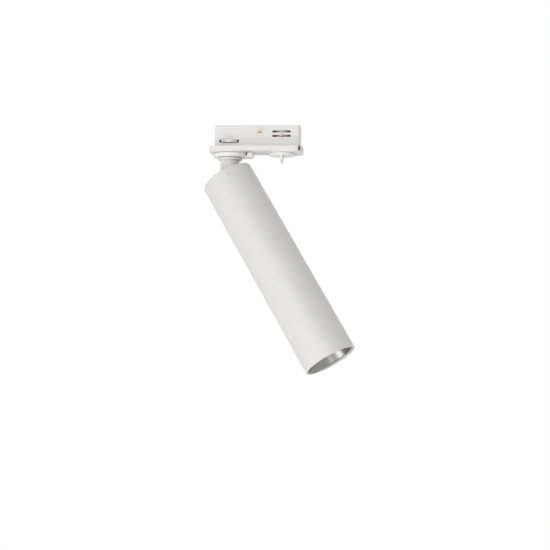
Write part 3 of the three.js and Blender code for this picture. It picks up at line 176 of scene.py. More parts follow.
def rounded(corners, steps=ARC_STEPS):
    """An outline through corners (x, y, radius), each rounded with an arc of its radius."""
    points = []
    for index, (x, y, radius) in enumerate(corners):
        here = Vector((x, y))
        if radius <= 0:
            points.append(here)
            continue
        back = Vector(corners[index - 1][:2]) - here
        ahead = Vector(corners[(index + 1) % len(corners)][:2]) - here
        half = back.angle(ahead) / 2
        reach = min(radius / math.tan(half), back.length / 2, ahead.length / 2)
        radius = reach * math.tan(half)
        inwards = (back.normalized() + ahead.normalized()).normalized()
        centre = here + inwards * radius / math.sin(half)
        first = here + back.normalized() * reach - centre
        last = here + ahead.normalized() * reach - centre
        sweep = first.angle_signed(last)
        for step in range(steps + 1):
            turn = Matrix.Rotation(-sweep * step / steps, 2)
            points.append(centre + turn @ first)
    return points


def bar_outline(x_low, x_high, width, corner):
    """A rectangle with round corners, with its long axis along X."""
    half = width / 2
    return rounded([(x_low, -half, corner), (x_high, -half, corner), (x_high, half, corner),
                    (x_low, half, corner)], CORNER_STEPS)


def inset(outline, depth):
    """A convex outline moved inwards by a depth, by twice the depth at most at a sharp corner."""
    moved = []
    count = len(outline)
    for index, point in enumerate(outline):
        into = (point - outline[index - 1]).normalized()
        out = (outline[(index + 1) % count] - point).normalized()
        normal = Vector((-(into + out).y, (into + out).x)).normalized()
        lean = max(1 / 2, Vector((-into.y, into.x)).dot(normal))
        moved.append(point + normal * depth / lean)
    return moved


def without_doubles(outline):
    """An outline without points that lie on their neighbours."""
    kept = []
    for point in outline:
        if not kept or (point - kept[-1]).length > SAME_POINT:
            kept.append(point)
    if (kept[0] - kept[-1]).length < SAME_POINT:
        kept.pop()
    return kept


# Meshes

SEAM_IN_MM = 0.001
WELD_GAP = 0.001 * MM

# Degrees between faces: those that count as one flat face, and those that make a crease or a bevel
FLAT_ANGLE = 1
CREASE_ANGLE = 32
BEVEL_ANGLE = 35
BEVEL_SEGMENTS = 2

# How much the shading leans on large faces, where 50 is neutral
SKIN_WEIGHT = 80
KEPT_WEIGHT = 50

# The CAD nodes that a made piece stands for
replaced = set()


def new_piece(name, shape, place):
    """A mesh object made from a bmesh, with its corners put where the place is."""
    bmesh.ops.recalc_face_normals(shape, faces=shape.faces)
    mesh = bpy.data.meshes.new(name)
    shape.to_mesh(mesh)
    shape.free()
    mesh.transform(place)
    piece = bpy.data.objects.new(name, mesh)
    bpy.context.scene.collection.objects.link(piece)
    return piece


def lathe(name, outline, place, sides=ROUND_SIDES):
    """An outline of (radius, height) points turned round the place's upright axis."""
    shape = bmesh.new()
    poles = {index: shape.verts.new((0, 0, height))
             for index, (radius, height) in enumerate(outline) if radius < SAME_POINT}
    columns = []
    for side in range(sides):
        angle = 2 * math.pi * side / sides
        x, y = math.cos(angle), math.sin(angle)
        columns.append([poles.get(index) or shape.verts.new((radius * x, radius * y, height))
                        for index, (radius, height) in enumerate(outline)])
    spans = range(len(outline) - 1 if poles else len(outline))
    for side, column in enumerate(columns):
        beside = columns[(side + 1) % sides]
        for index in spans:
            after = (index + 1) % len(outline)
            corners = [column[index], beside[index], beside[after], column[after]]
            corners = [corner for at, corner in enumerate(corners) if corner is not corners[at - 1]]
            if len(corners) > 2:
                shape.faces.new(corners)
    return new_piece(name, shape, place)


def edge_levels(edge, steps):
    """A rounded edge as pairs: the distance from the face, and the inset of the outline there."""
    if not edge:
        return [(0, 0)]
    turns = [math.pi / 2 * step / steps for step in range(steps + 1)]
    return [(edge * (1 - math.sin(turn)), edge * (1 - math.cos(turn))) for turn in turns]


def slab(name, outline, low, high, place, low_edge=0, high_edge=0, steps=EDGE_STEPS):
    """A plate with this outline between two heights, with rounded lower and upper edges."""
    outline = without_doubles(outline)
    levels = sorted([(low + rise, depth) for rise, depth in edge_levels(low_edge, steps)]
                    + [(high - fall, depth) for fall, depth in edge_levels(high_edge, steps)])
    shape = bmesh.new()
    rings = [[shape.verts.new((point.x, point.y, height)) for point in inset(outline, depth)]
             for height, depth in levels]
    shape.faces.new(rings[0])
    shape.faces.new(rings[-1])
    for lower, upper in zip(rings, rings[1:]):
        for index in range(len(outline)):
            after = (index + 1) % len(outline)
            shape.faces.new((lower[index], lower[after], upper[after], upper[index]))
    return new_piece(name, shape, place)


def peg(radius, low, high, place, sides=CUTTER_SIDES):
    """A plain round bar, to cut with or to join."""
    return lathe("cutter", [(0, low), (radius, low), (radius, high), (0, high)], place, sides)


def box_at(x_span, y_span, z_span, place):
    """A plain block, to cut with or to join."""
    (left, right), (front, back) = x_span, y_span
    corners = ((left, front), (right, front), (right, back), (left, back))
    return slab("cutter", [Vector(corner) for corner in corners], *z_span, place)


def flat_cutters(flat, wide, low, high, place):
    """Two blocks that cut flats on both sides of a round piece."""
    return [box_at((-wide, wide), span, (low, high), place) for span in ((flat, wide), (-wide, -flat))]


def bake(piece):
    """Applies a piece's modifiers to its mesh."""
    bpy.context.view_layer.update()
    evaluated = piece.evaluated_get(bpy.context.evaluated_depsgraph_get())
    mesh = bpy.data.meshes.new_from_object(evaluated)
    old = piece.data
    piece.modifiers.clear()
    piece.data = mesh
    mesh.name = piece.name
    bpy.data.meshes.remove(old)


def close_seams(piece):
    """Merges the corners of a piece in millimetres that lie on each other."""
    shape = bmesh.new()
    shape.from_mesh(piece.data)
    bmesh.ops.remove_doubles(shape, verts=shape.verts, dist=SEAM_IN_MM)
    bmesh.ops.dissolve_degenerate(shape, edges=shape.edges, dist=SEAM_IN_MM)
    shape.to_mesh(piece.data)
    shape.free()


def combine(piece, others, operation):
    """Cuts other solids out of a piece, or joins them to it, in millimetres, and removes them."""
    larger = Matrix.Scale(1 / MM, 4)
    piece.data.transform(larger)
    for other in others:
        other.data.transform(larger)
        change = piece.modifiers.new("combine", "BOOLEAN")
        change.operation = operation
        change.solver = "EXACT"
        change.object = other
        bake(piece)
        close_seams(piece)
        bpy.data.objects.remove(other)
    piece.data.transform(larger.inverted())


def even_shading(piece, weight):
    """Shading that follows a piece's large faces and keeps its creases."""
    shading = piece.modifiers.new("even_shading", "WEIGHTED_NORMAL")
    shading.keep_sharp = True
    shading.weight = weight


def dress(piece, body, slot, *nodes):
    """Gives a piece its shading, finish and body, and says which CAD nodes it stands for."""
    piece.data.shade_smooth()
    piece.data.set_sharp_from_angle(angle=math.radians(CREASE_ANGLE))
    even_shading(piece, SKIN_WEIGHT)
    piece.data.materials.clear()
    piece.data.materials.append(finishes[slot])
    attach(piece, body)
    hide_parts(*nodes)
    replaced.update(nodes)


def polish(piece, edge):
    """Rounds the edges of a CAD node that stays, with modifiers alone."""
    weld = piece.modifiers.new("weld", "WELD")
    weld.merge_threshold = WELD_GAP
    flat = piece.modifiers.new("flat_faces", "DECIMATE")
    flat.decimate_type = "DISSOLVE"
    flat.angle_limit = math.radians(FLAT_ANGLE)
    bevel = piece.modifiers.new("edges", "BEVEL")
    bevel.width = edge
    bevel.segments = BEVEL_SEGMENTS
    bevel.limit_method = "ANGLE"
    bevel.angle_limit = math.radians(BEVEL_ANGLE)
    even_shading(piece, KEPT_WEIGHT)


# Finishes

# Values of a noise that most of its surface lies between
NOISE_LOW, NOISE_HIGH = 0.3, 0.7
GRAIN_DETAIL = 3
MOTTLE_DETAIL = 2
MOTTLE_SIZE = 14 * MM

# One look for each material slot of the record: grain size and depth in millimetres
LOOKS = {
    "powder_coat": dict(colour=(0.80, 0.795, 0.78), roughness=0.42, grain=0.9, depth=0.02, vary=0.03,
                        specular=0.9),
    "adapter_plastic": dict(colour=(0.88, 0.875, 0.86), roughness=0.45, grain=0.35, depth=0.012),
    "lever_plastic": dict(colour=(0.92, 0.915, 0.90), roughness=0.34, grain=0.5, depth=0.006),
    "inner_plastic": dict(colour=(0.72, 0.71, 0.68), roughness=0.5, grain=0.4, depth=0.01),
    # Near black: the catch deep in the plate's corner notch. Its darkness is partly the catch's own colour and
    # partly painted shade for the inside of the notch.
    "dark_plastic": dict(colour=(0.028, 0.026, 0.024), roughness=0.5, grain=0.4, depth=0.01),
    "steel": dict(colour=(0.46, 0.455, 0.445), roughness=0.44, metallic=1.0, grain=0.3, depth=0.004,
                  stretch=(1, 1, 8)),
    "aluminium": dict(colour=(0.68, 0.69, 0.70), roughness=0.38, metallic=1.0, grain=0.4, depth=0.005,
                      stretch=(1, 1, 0.1)),
    # The reflector's dark grey is painted dark reflection: it stands in for the dark surroundings that the real
    # reflector mirrors, since this world shows white in reflections. The lamps give its highlight.
    "reflector_metal": dict(colour=(0.26, 0.258, 0.254), roughness=0.28, metallic=1.0, grain=0.8,
                            depth=0.0003, mottle=0.01, vary=0.015),
    "contact_metal": dict(colour=(0.60, 0.34, 0.19), roughness=0.44, metallic=1.0, grain=0.3, depth=0.003,
                          stretch=(1, 1, 6)),
    "transformer_core": dict(colour=(0.11, 0.085, 0.06), roughness=0.5, grain=0.6, depth=0.02),
    "circuit_board": dict(colour=(0.03, 0.17, 0.07), roughness=0.35, grain=1.2, depth=0.006),
    "white_board": dict(colour=(0.82, 0.82, 0.79), roughness=0.35, grain=0.5, depth=0.004),
    "light_source": dict(colour=(0.86, 0.66, 0.12), roughness=0.4, grain=0.25, depth=0.012),
    "lead_jacket": dict(colour=(0.74, 0.72, 0.67), roughness=0.42, grain=0.6, depth=0.01),
}


def link(tree, source, output, target, name):
    """Joins an output of one node to an input of another, both by name."""
    tree.links.new(source.outputs[output], target.inputs[name])


def noise(tree, size, detail, stretch=(1, 1, 1)):
    """Noise in the object's own space, with marks of about the size given."""
    where = tree.nodes.new("ShaderNodeTexCoord")
    scale = tree.nodes.new("ShaderNodeMapping")
    scale.inputs["Scale"].default_value = stretch
    pattern = tree.nodes.new("ShaderNodeTexNoise")
    pattern.inputs["Scale"].default_value = 1 / size
    pattern.inputs["Detail"].default_value = detail
    link(tree, where, "Object", scale, "Vector")
    link(tree, scale, "Vector", pattern, "Vector")
    return pattern


def spread(tree, pattern, low, high):
    """A noise's values spread between two numbers."""
    spreader = tree.nodes.new("ShaderNodeMapRange")
    spreader.inputs["From Min"].default_value = NOISE_LOW
    spreader.inputs["From Max"].default_value = NOISE_HIGH
    spreader.inputs["To Min"].default_value = low
    spreader.inputs["To Max"].default_value = high
    link(tree, pattern, "Fac", spreader, "Value")
    return spreader


def mottled(tree, colour, mottle):
    """A colour in clouds that are a little darker and a little lighter."""
    shades = tree.nodes.new("ShaderNodeMix")
    shades.data_type = "RGBA"
    shades.inputs["A"].default_value = (*[part * (1 - mottle) for part in colour], 1)
    shades.inputs["B"].default_value = (*[min(1, part * (1 + mottle)) for part in colour], 1)
    clouds = noise(tree, MOTTLE_SIZE, MOTTLE_DETAIL)
    link(tree, spread(tree, clouds, 0, 1), "Result", shades, "Factor")
    return shades


def finish(name, colour, roughness, grain, depth, metallic=0.0, mottle=0.02, vary=0.05,
           stretch=(1, 1, 1), specular=0.5):
    """A finish with a fine surface grain, faint mottling and uneven gloss."""
    material = bpy.data.materials.new(name)
    material.use_nodes = True
    tree = material.node_tree
    shader = tree.nodes["Principled BSDF"]
    shader.inputs["Metallic"].default_value = metallic
    shader.inputs["Specular IOR Level"].default_value = specular
    link(tree, mottled(tree, colour, mottle), "Result", shader, "Base Color")
    fine = noise(tree, grain * MM, GRAIN_DETAIL, stretch)
    gloss = spread(tree, fine, roughness - vary, roughness + vary)
    link(tree, gloss, "Result", shader, "Roughness")
    relief = tree.nodes.new("ShaderNodeBump")
    relief.inputs["Strength"].default_value = 1
    relief.inputs["Distance"].default_value = depth * MM
    link(tree, fine, "Fac", relief, "Height")
    link(tree, relief, "Normal", shader, "Normal")
    return material


# Tube, and the headless screws that hold the cap in it

TUBE_BORE_EDGE = 0.25 * MM
TUBE_EDGE = 0.5 * MM

CAP_SCREWS = ("cap_screw_1", "cap_screw_2", "cap_screw_3")
CAP_SCREW_GAP = 0.25 * FIT_GAP
CAP_SCREW_INNER_EDGE = 0.3 * MM
CAP_SCREW_OUTER_EDGE = 0.25 * MM

# Size and depth of the six-sided socket, as shares of the screw's radius
SOCKET_RADIUS = 0.42
SOCKET_DEPTH = 0.25


def mouth_bore(tube):
    """The inner radius of the tube at its open end."""
    low = extent("tube_housing", tube)[0]
    return radii("tube_housing", tube, low.z, low.z + LAYER)[0]


def screw_place(node, tube):
    """A place on the tube's axis at a screw's height, with its own upright axis through the screw."""
    low, high = extent(node, tube)
    middle = (low + high) / 2
    out = Vector((middle.x, middle.y, 0)).normalized()
    return tube @ axes(UP, out.cross(UP), out, Vector((0, 0, middle.z)))


def make_tube(tube):
    """The head's tube: fine wall, softened rims, and three holes for the cap's screws."""
    low, high = extent("tube_housing", tube)
    bore, radius = mouth_bore(tube), high.y
    outline = rounded([(bore, low.z, TUBE_BORE_EDGE), (radius, low.z, TUBE_EDGE),
                       (radius, high.z, TUBE_EDGE), (bore, high.z, TUBE_BORE_EDGE)])
    skin = lathe("tube_skin", outline, tube)
    cutters = []
    for name in CAP_SCREWS:
        place = screw_place(name, tube)
        hole = half_width(name, place) + CAP_SCREW_GAP
        cutters.append(peg(hole, bore - 2 * CUT_OVERRUN, radius + CUT_OVERRUN, place, SMALL_SIDES))
    combine(skin, cutters, "DIFFERENCE")
    dress(skin, "head", "powder_coat", "tube_housing")


def make_cap_screws(tube):
    """Headless screws with a rounded rim and a six-sided socket."""
    for name in CAP_SCREWS:
        place = screw_place(name, tube)
        low, high = extent(name, place)
        radius = half_width(name, place)
        outline = rounded([(0, low.z, 0), (radius, low.z, CAP_SCREW_INNER_EDGE),
                           (radius, high.z, CAP_SCREW_OUTER_EDGE), (0, high.z, 0)])
        skin = lathe(f"{name}_skin", outline, place, SMALL_SIDES)
        hexagon = arc((0, 0), SOCKET_RADIUS * radius, 0, 300, 5)
        floor = high.z - SOCKET_DEPTH * radius
        socket = slab("cutter", hexagon, floor, high.z + CUT_OVERRUN, place)
        combine(skin, [socket], "DIFFERENCE")
        dress(skin, "head", "powder_coat", name)


# Reflector and light source

RIM_GAP = 0.02 * MM
PARABOLA_STEPS = 40
BEAD_STEPS = 8

# Radii of the disc and of the dam's bore, as shares of the light source's radius
DISC_SHARE = 0.86
DAM_SHARE = 0.85
DAM_EDGE = 0.3 * MM

# How far the disc's middle lies behind the dam's face, and its rim behind that, as shares of the
# light source's thickness
DOME_TOP = 0.25
DOME_FALL = 0.2
DOME_STEPS = 8


def bead(radius, width, height, rise):
    """The rolled edge of a thin wall, as half an ellipse from its inner to its outer side."""
    turns = [math.pi * step / BEAD_STEPS for step in range(BEAD_STEPS + 1)]
    return [(radius + width * (1 - math.cos(turn)) / 2, height + rise * (1 - math.sin(turn)))
            for turn in turns]


def make_reflector(tube):
    """A smooth parabola of revolution, with a rolled rim."""
    levels = heights("reflector", tube)
    rim, throat, top = levels[0], levels[-2], levels[-1]
    mouth, mouth_outside = radii("reflector", tube, *near(rim))
    neck = radii("reflector", tube, *near(top))[0]
    wall = mouth_outside - mouth
    inside = [(neck, top)]
    for step in range(PARABOLA_STEPS + 1):
        share = step / PARABOLA_STEPS
        square = neck ** 2 + (mouth ** 2 - neck ** 2) * share
        inside.append((math.sqrt(square), throat + (rim - throat) * share))
    outside = [(radius + wall, height) for radius, height in reversed(inside)]
    edge = bead(mouth, mouth_bore(tube) - RIM_GAP - mouth, rim, wall / 2)
    skin = lathe("reflector_skin", inside[:-1] + edge + outside[1:], tube)
    dress(skin, "head", "reflector_metal", "reflector")


def make_light_source(tube):
    """The yellow disc of the light source, slightly domed, in a thin pale dam."""
    low, high = extent("led_chip", tube)
    radius, thickness = high.x, high.z - low.z
    disc_radius, dam_bore = DISC_SHARE * radius, DAM_SHARE * radius
    face = []
    for step in range(DOME_STEPS + 1):
        share = step / DOME_STEPS
        face.append((disc_radius * share, low.z + thickness * (DOME_TOP + DOME_FALL * share ** 2)))
    disc = lathe("light_disc", [*face, (disc_radius, high.z), (0, high.z)], tube, SMALL_SIDES)
    dress(disc, "head", "light_source", "led_chip")
    outline = rounded([(dam_bore, low.z, DAM_EDGE), (radius, low.z, DAM_EDGE), (radius, high.z, 0),
                       (dam_bore, high.z, 0)])
    dam = lathe("light_dam", outline, tube, SMALL_SIDES)
    dress(dam, "head", "white_board", "led_chip")


# Stem

FLANGE_TOP_EDGE = 0.35 * MM
FLANGE_LOW_EDGE = 0.4 * MM
FLANGE_FILLET = 1.1 * MM
FLAT_TOLERANCE = 0.05 * MM
BALL_STEPS = 24


def stem_shank(swivel):
    """The height of the flange's underside, and the stem's radius below it."""
    flange_low = heights("stem", swivel)[-2]
    return flange_low, radii("stem", swivel, -FAR, flange_low - PROBE)[1]


def stem_outline(swivel, pivot):
    """The flange with its fillet, the stem, its round lower end and its bore, turned as one."""
    top = extent("stem", swivel)[1].z
    flange_low, radius = stem_shank(swivel)
    thread, flange = radii("stem", swivel, *near(top))
    bore = radii("stem", swivel, -FAR, -pivot)[0]
    bore_top = max(point.z for point in local_points("stem", swivel, -pivot, flange_low - LAYER))
    upper = rounded([(thread, top, 0), (flange, top, FLANGE_TOP_EDGE),
                     (flange, flange_low, FLANGE_LOW_EDGE), (radius, flange_low, FLANGE_FILLET),
                     (radius, -pivot, 0), (bore, -pivot, 0)])
    ball = arc((0, -pivot), radius, 0, math.degrees(math.asin(bore / radius)) - 90, BALL_STEPS)
    return [*upper[:-2], *ball, (bore, bore_top), (thread, bore_top)]


def make_stem(swivel, pivot):
    """The flange and stem in one piece, with flats at the hinge and a hole for its bolt."""
    skin = lathe("stem_skin", stem_outline(swivel, pivot), swivel)
    radius = stem_shank(swivel)[1]
    flat = extent("stem", swivel, -FAR, -pivot)[1].y
    flat_top = max(point.z for point in local_points("stem", swivel, -pivot, radius - pivot)
                   if abs(abs(point.y) - flat) < FLAT_TOLERANCE)
    cutters = flat_cutters(flat, 2 * radius, -pivot - 2 * radius, flat_top, swivel)
    hinge = swivel @ Matrix.Translation(Vector((0, 0, -pivot))) @ Matrix.Rotation(math.pi / 2, 4, "X")
    cutters.append(peg(shank_radius("hinge_bolt", hinge) + RUN_GAP, -2 * radius, 2 * radius, hinge))
    combine(skin, cutters, "DIFFERENCE")
    dress(skin, "swivel", "powder_coat", "stem")


# Base plate, and the cover of the neck that stands in the track

PLATE_LOW_EDGE = 0.45 * MM
PLATE_TOP_EDGE = 0.3 * MM
PAD_INSET = 0.03 * MM
PAD_OVERLAP = 2 * MM
PAD_EDGE_STEPS = 6
PAD_ARC_STEPS = 48
NECK_CORNER = 2.5 * MM
COVER_EDGE = 0.6 * MM

COVER_SCREWS = ("cover_screw_1", "cover_screw_2", "cover_screw_3")
TIP_INSET = 0.3 * MM
TIP_LENGTH = 0.5 * MM
SLOT_WIDTH = 0.6 * MM
HEAD_STEPS = 10

# Heights of the straight rim and of the slot's floor, as shares of the screw head's height
HEAD_RIM = 0.3
SLOT_FLOOR = 0.5


def pad_outline(middle_x, end_x, half, corner):
    """A pad's outline: a half round towards the middle, and the plate's corners at its end."""
    side, turn = (1, 0) if end_x > middle_x else (-1, 180)
    x, y = end_x - side * corner, side * (half - corner)
    return [*arc((x, -y), corner, turn - 90, turn, CORNER_STEPS),
            *arc((x, y), corner, turn, turn + 90, CORNER_STEPS),
            *arc((middle_x, 0), half, turn + 90, turn + 270, PAD_ARC_STEPS)]


def seat_cutter(place):
    """The shallow seat of the neck in the top of the plate."""
    low, high = extent("track_housing", place)
    outline = bar_outline(low.x - FIT_GAP, high.x + FIT_GAP, 2 * (high.y + FIT_GAP),
                          NECK_CORNER + FIT_GAP)
    plate_top = extent("base_plate", place)[1].z
    return slab("cutter", outline, low.z, plate_top + CUT_OVERRUN, place)


def notch_cutter(place, corner):
    """The notch round the corner catch, from the catch out through the plate's round corner."""
    high = extent("base_plate", place)[1]
    low_catch, high_catch = extent("corner_catch", place)
    middle = (low_catch + high_catch) / 2
    centre = Vector((high.x - corner, corner - high.y, 0))
    turn = math.atan2(middle.y - centre.y, middle.x - centre.x)
    notch = place @ Matrix.Translation(centre) @ Matrix.Rotation(turn, 4, "Z")
    low_catch, high_catch = extent("corner_catch", notch)
    return box_at((low_catch.x - FIT_GAP, corner + CUT_OVERRUN),
                  (low_catch.y - FIT_GAP, high_catch.y + FIT_GAP),
                  (low_catch.z - FIT_GAP, high.z + CUT_OVERRUN), notch)


def make_plate(place):
    """The plate under the track with its two thicker pads, its notch and its holes."""
    low, high = extent("base_plate", place)
    half, corner = high.y, high.y / 2
    pad_low, pad_edge_top, underside = heights("base_plate", place)[:3]
    skin = slab("plate_skin", bar_outline(low.x, high.x, 2 * half, corner), underside, high.z, place,
                PLATE_LOW_EDGE, PLATE_TOP_EDGE)
    pads = []
    for middle_x, end_x in ((0, low.x), (high.x - half, high.x)):
        outline = inset(without_doubles(pad_outline(middle_x, end_x, half, corner)), PAD_INSET)
        pads.append(slab("pad", outline, pad_low, underside + PAD_OVERLAP, place,
                         pad_edge_top - pad_low, 0, PAD_EDGE_STEPS))
    combine(skin, pads, "UNION")
    cutters = [seat_cutter(place), notch_cutter(place, corner)]
    for hole in (place, places["selector"]):
        cutters.append(peg(radii("base_plate", hole)[0], low.z - CUT_OVERRUN, high.z + CUT_OVERRUN,
                           hole, HOLE_SIDES))
    combine(skin, cutters, "DIFFERENCE")
    dress(skin, "adapter", "adapter_plastic", "base_plate")


def upright_place(node, place):
    """A place on a CAD node's own upright axis."""
    low, high = extent(node, place)
    middle = (low + high) / 2
    return place @ Matrix.Translation(Vector((middle.x, middle.y, 0)))


def make_cover(place):
    """The lid of the neck, with a rounded top edge and its screw holes."""
    low, high = extent("housing_cover", place)
    outline = bar_outline(low.x, high.x, high.y - low.y, NECK_CORNER)
    skin = slab("cover_skin", outline, low.z, high.z, place, 0, COVER_EDGE)
    cutters = []
    for name in COVER_SCREWS:
        here = upright_place(name, place)
        cutters.append(peg(shank_radius(name, here) + FIT_GAP, low.z - CUT_OVERRUN,
                           high.z + CUT_OVERRUN, here))
    combine(skin, cutters, "DIFFERENCE")
    dress(skin, "adapter", "adapter_plastic", "housing_cover")


def make_cover_screws(place):
    """Round-head screws with a straight slot."""
    seat = extent("housing_cover", place)[1].z
    turns = [math.pi / 2 * step / HEAD_STEPS for step in range(HEAD_STEPS)]
    for name in COVER_SCREWS:
        here = upright_place(name, place)
        low, high = extent(name, place)
        shank, head, rise = shank_radius(name, here), half_width(name, place), high.z - seat
        dome = [(head * math.cos(turn), seat + rise * (HEAD_RIM + (1 - HEAD_RIM) * math.sin(turn)))
                for turn in turns]
        outline = [(0, low.z), (shank - TIP_INSET, low.z), (shank, low.z + TIP_LENGTH), (shank, seat),
                   (head, seat), *dome, (0, high.z)]
        skin = lathe(f"{name}_skin", outline, here, SMALL_SIDES)
        slot = box_at((-2 * head, 2 * head), (-SLOT_WIDTH / 2, SLOT_WIDTH / 2),
                      (seat + SLOT_FLOOR * rise, high.z + CUT_OVERRUN), here)
        combine(skin, [slot], "DIFFERENCE")
        dress(skin, "adapter", "steel", name)


# Lock lever

RING_LOW_EDGE = 0.6 * MM
RING_TOP_EDGE = 0.45 * MM
WASHER_SEAT_EDGE = 0.25 * MM
BORE_EDGE = 0.2 * MM
SLEEVE_EDGE = 0.3 * MM
SLEEVE_OVERLAP = 1.0 * MM
TAB_CORNER = 1.5 * MM
TAB_LOW_EDGE = 0.7 * MM
TAB_TOP_EDGE = 0.5 * MM

# How far the tab's bridge runs into the ring, and where it lies above the ring's underside
BRIDGE_OVERLAP = 4 * MM
BRIDGE_LOW = 0.05 * MM
BRIDGE_TOP = 1.8 * MM


def make_ring(place, radius, bore, low, top):
    """The lever's ring with softened edges and a seat for the friction washer."""
    seat = radii("friction_washer", place)[1] + FIT_GAP
    seat_top = extent("friction_washer", place)[1].z + FIT_GAP / 2
    outline = rounded([(bore, top, BORE_EDGE), (bore, seat_top, 0), (seat, seat_top, 0),
                       (seat, low, WASHER_SEAT_EDGE), (radius, low, RING_LOW_EDGE),
                       (radius, top, RING_TOP_EDGE)])
    return lathe("lever_skin", outline, place)


def make_sleeve(place, radius, bore, ring_top, top):
    """The sleeve above the ring, with two flats that turn the cam."""
    base = ring_top - SLEEVE_OVERLAP
    outline = rounded([(bore, base, 0), (radius, base, 0), (radius, top, SLEEVE_EDGE),
                       (bore, top, BORE_EDGE)])
    sleeve = lathe("sleeve", outline, place)
    flat = extent("lock_lever", place, *near(top))[1].y
    cam_low = extent("lock_cam", place)[0].z
    cutters = flat_cutters(flat, 2 * radius, cam_low, top + CUT_OVERRUN, place)
    combine(sleeve, cutters, "DIFFERENCE")
    return sleeve


def make_tab(place, ring_radius, base, top):
    """The thumb tab, and the bridge that joins it to the ring."""
    low, high = extent("lock_lever", place, *near(top))
    tab = slab("tab", bar_outline(low.x, high.x, high.y - low.y, TAB_CORNER), base, top, place,
               TAB_LOW_EDGE, TAB_TOP_EDGE)
    bridge = box_at((ring_radius - BRIDGE_OVERLAP, low.x + TAB_CORNER),
                    (low.y + TAB_CORNER, high.y - TAB_CORNER),
                    (base + BRIDGE_LOW, base + BRIDGE_TOP), place)
    return [bridge, tab]


def make_lever(place):
    """The lock lever: its ring, the cam's sleeve, and the tab on its bridge."""
    low, high = extent("lock_lever", place)
    radius = -low.x
    bore, sleeve_radius = radii("lock_lever", place, *near(high.z))
    pad_low, _, underside = heights("base_plate", place)[:3]
    ring_top = highest_under("lock_lever", place, pad_low)
    tab_top = highest_under("lock_lever", place, underside)
    skin = make_ring(place, radius, bore, low.z, ring_top)
    sleeve = make_sleeve(place, sleeve_radius, bore, ring_top, high.z)
    combine(skin, [sleeve, *make_tab(place, radius, low.z, tab_top)], "UNION")
    dress(skin, "lever", "lever_plastic", "lock_lever")


# Selector knob

KNOB_TOP_EDGE = 0.25 * MM
KNOB_RIM_EDGE = 0.5 * MM
KNOB_SHOULDER_EDGE = 3 * MM

# Where the disc's flat face ends, as a share of its radius, and how far its rim lies behind the face
KNOB_FACE = 0.86
KNOB_RISE = 0.25 * MM

FIN_EDGE = 0.45 * MM
CROWN_STEPS = 32

# Beyond the fin, the journal and the shaft, where only the disc has corners
FIN_CLEAR = 3 * MM

# How far the fin and the journal start in the disc, and the shaft in the journal
JOIN_DEPTH = 0.6 * MM
SHAFT_OVERLAP = 2 * MM


def make_disc(place, radius, base, top):
    """The knob's disc, with a lightly rounded face."""
    outline = rounded([(0, top, 0), (radius, top, KNOB_TOP_EDGE),
                       (radius, base + KNOB_RISE, KNOB_RIM_EDGE),
                       (KNOB_FACE * radius, base, KNOB_SHOULDER_EDGE), (0, base, 0)])
    return lathe("knob_skin", outline, place)


def make_fin(place, base, root):
    """The arched grip fin, from its root in the disc to its crown."""
    low, high = extent("selector_knob", place, -FAR, base - PROBE)
    half, shoulder, tip = high.y, high.z, low.z
    crown = []
    for step in range(CROWN_STEPS + 1):
        share = step / CROWN_STEPS
        bow = 4 * share * (1 - share)
        crown.append(Vector((half * (2 * share - 1), shoulder + bow * (tip - shoulder))))
    sides = [Vector((half, root)), Vector((-half, root))]
    upright = place @ axes(Vector((0, 1, 0)), UP, Vector((1, 0, 0)), Vector((0, 0, 0)))
    return slab("fin", crown + sides, low.x, high.x, upright, FIN_EDGE, FIN_EDGE)


def make_knob(place):
    """The selector knob: a low disc, an arched grip fin, a journal and a square shaft."""
    high = extent("selector_knob", place)[1]
    pad_low = extent("base_plate", place)[0].z
    disc = [point.z for point in local_points("selector_knob", place, -FAR, pad_low)
            if abs(point.x) > FIN_CLEAR]
    top, base = max(disc), min(disc)
    root = top - JOIN_DEPTH
    drum_low = extent("contact_drum", place)[0].z
    journal_radius = radii("selector_knob", place, *near(drum_low))[1]
    journal = peg(journal_radius, root, drum_low, place, SMALL_SIDES)
    side = extent("selector_knob", place, *near(high.z))[1].x
    shaft = box_at((-side, side), (-side, side), (drum_low - SHAFT_OVERLAP, high.z), place)
    skin = make_disc(place, high.x, base, top)
    combine(skin, [make_fin(place, base, root), journal, shaft], "UNION")
    dress(skin, "selector", "lever_plastic", "selector_knob")


# CAD nodes that stay

KEPT_EDGE = 0.15 * MM
WIDER_EDGES = {
    "top_cap": 0.35 * MM,
    "track_housing": 0.3 * MM,
    "lock_cam": 0.35 * MM,
    "led_holder": 0.3 * MM,
}


def finish_kept_nodes():
    """Gives each CAD node that stays its finish and softened edges."""
    for entry in frame["record"]["subparts"]:
        node = entry["node"]
        if node in replaced:
            continue
        piece = frame["nodes"][node]
        for slot in piece.material_slots:
            slot.material = finishes[entry["material_slot"]]
        polish(piece, WIDER_EDGES.get(node, KEPT_EDGE))


# Studio

# The photograph's camera: its focal length and picture size in pixels, and its turns in radians
FOCAL_LENGTH = 1129.2
PICTURE_SIZE = 550
SENSOR_SIZE = 36
YAW, PITCH, ROLL = 0.0706, 0.0343, 0.0074
CAMERA_PLACE = Vector((0.12910, -1.15409, -0.17069))
CLIP_START, CLIP_END = 0.05, 30

AMBIENT = 0.464

# Lamps: turn to the right of the front and rise in degrees, distance and size in metres, power in watts
LAMPS = {
    "key": dict(turn=-52, rise=0, distance=2.2, size=1.1, power=1.2),
    "front": dict(turn=-8, rise=0, distance=2.2, size=1.9, power=15.4),
    "low_left": dict(turn=-47, rise=-40, distance=2.0, size=0.8, power=6.8),
    "low_front": dict(turn=-26, rise=-41, distance=2.0, size=0.7, power=3.4),
}

FLOOR_HEIGHT = -1.7
FLOOR_RADIUS = 2.6
FLOOR_SIDES = 128
FLOOR_PAINT = dict(colour=(0.9, 0.9, 0.9), roughness=0.8, grain=4, depth=0.02, mottle=0.005)


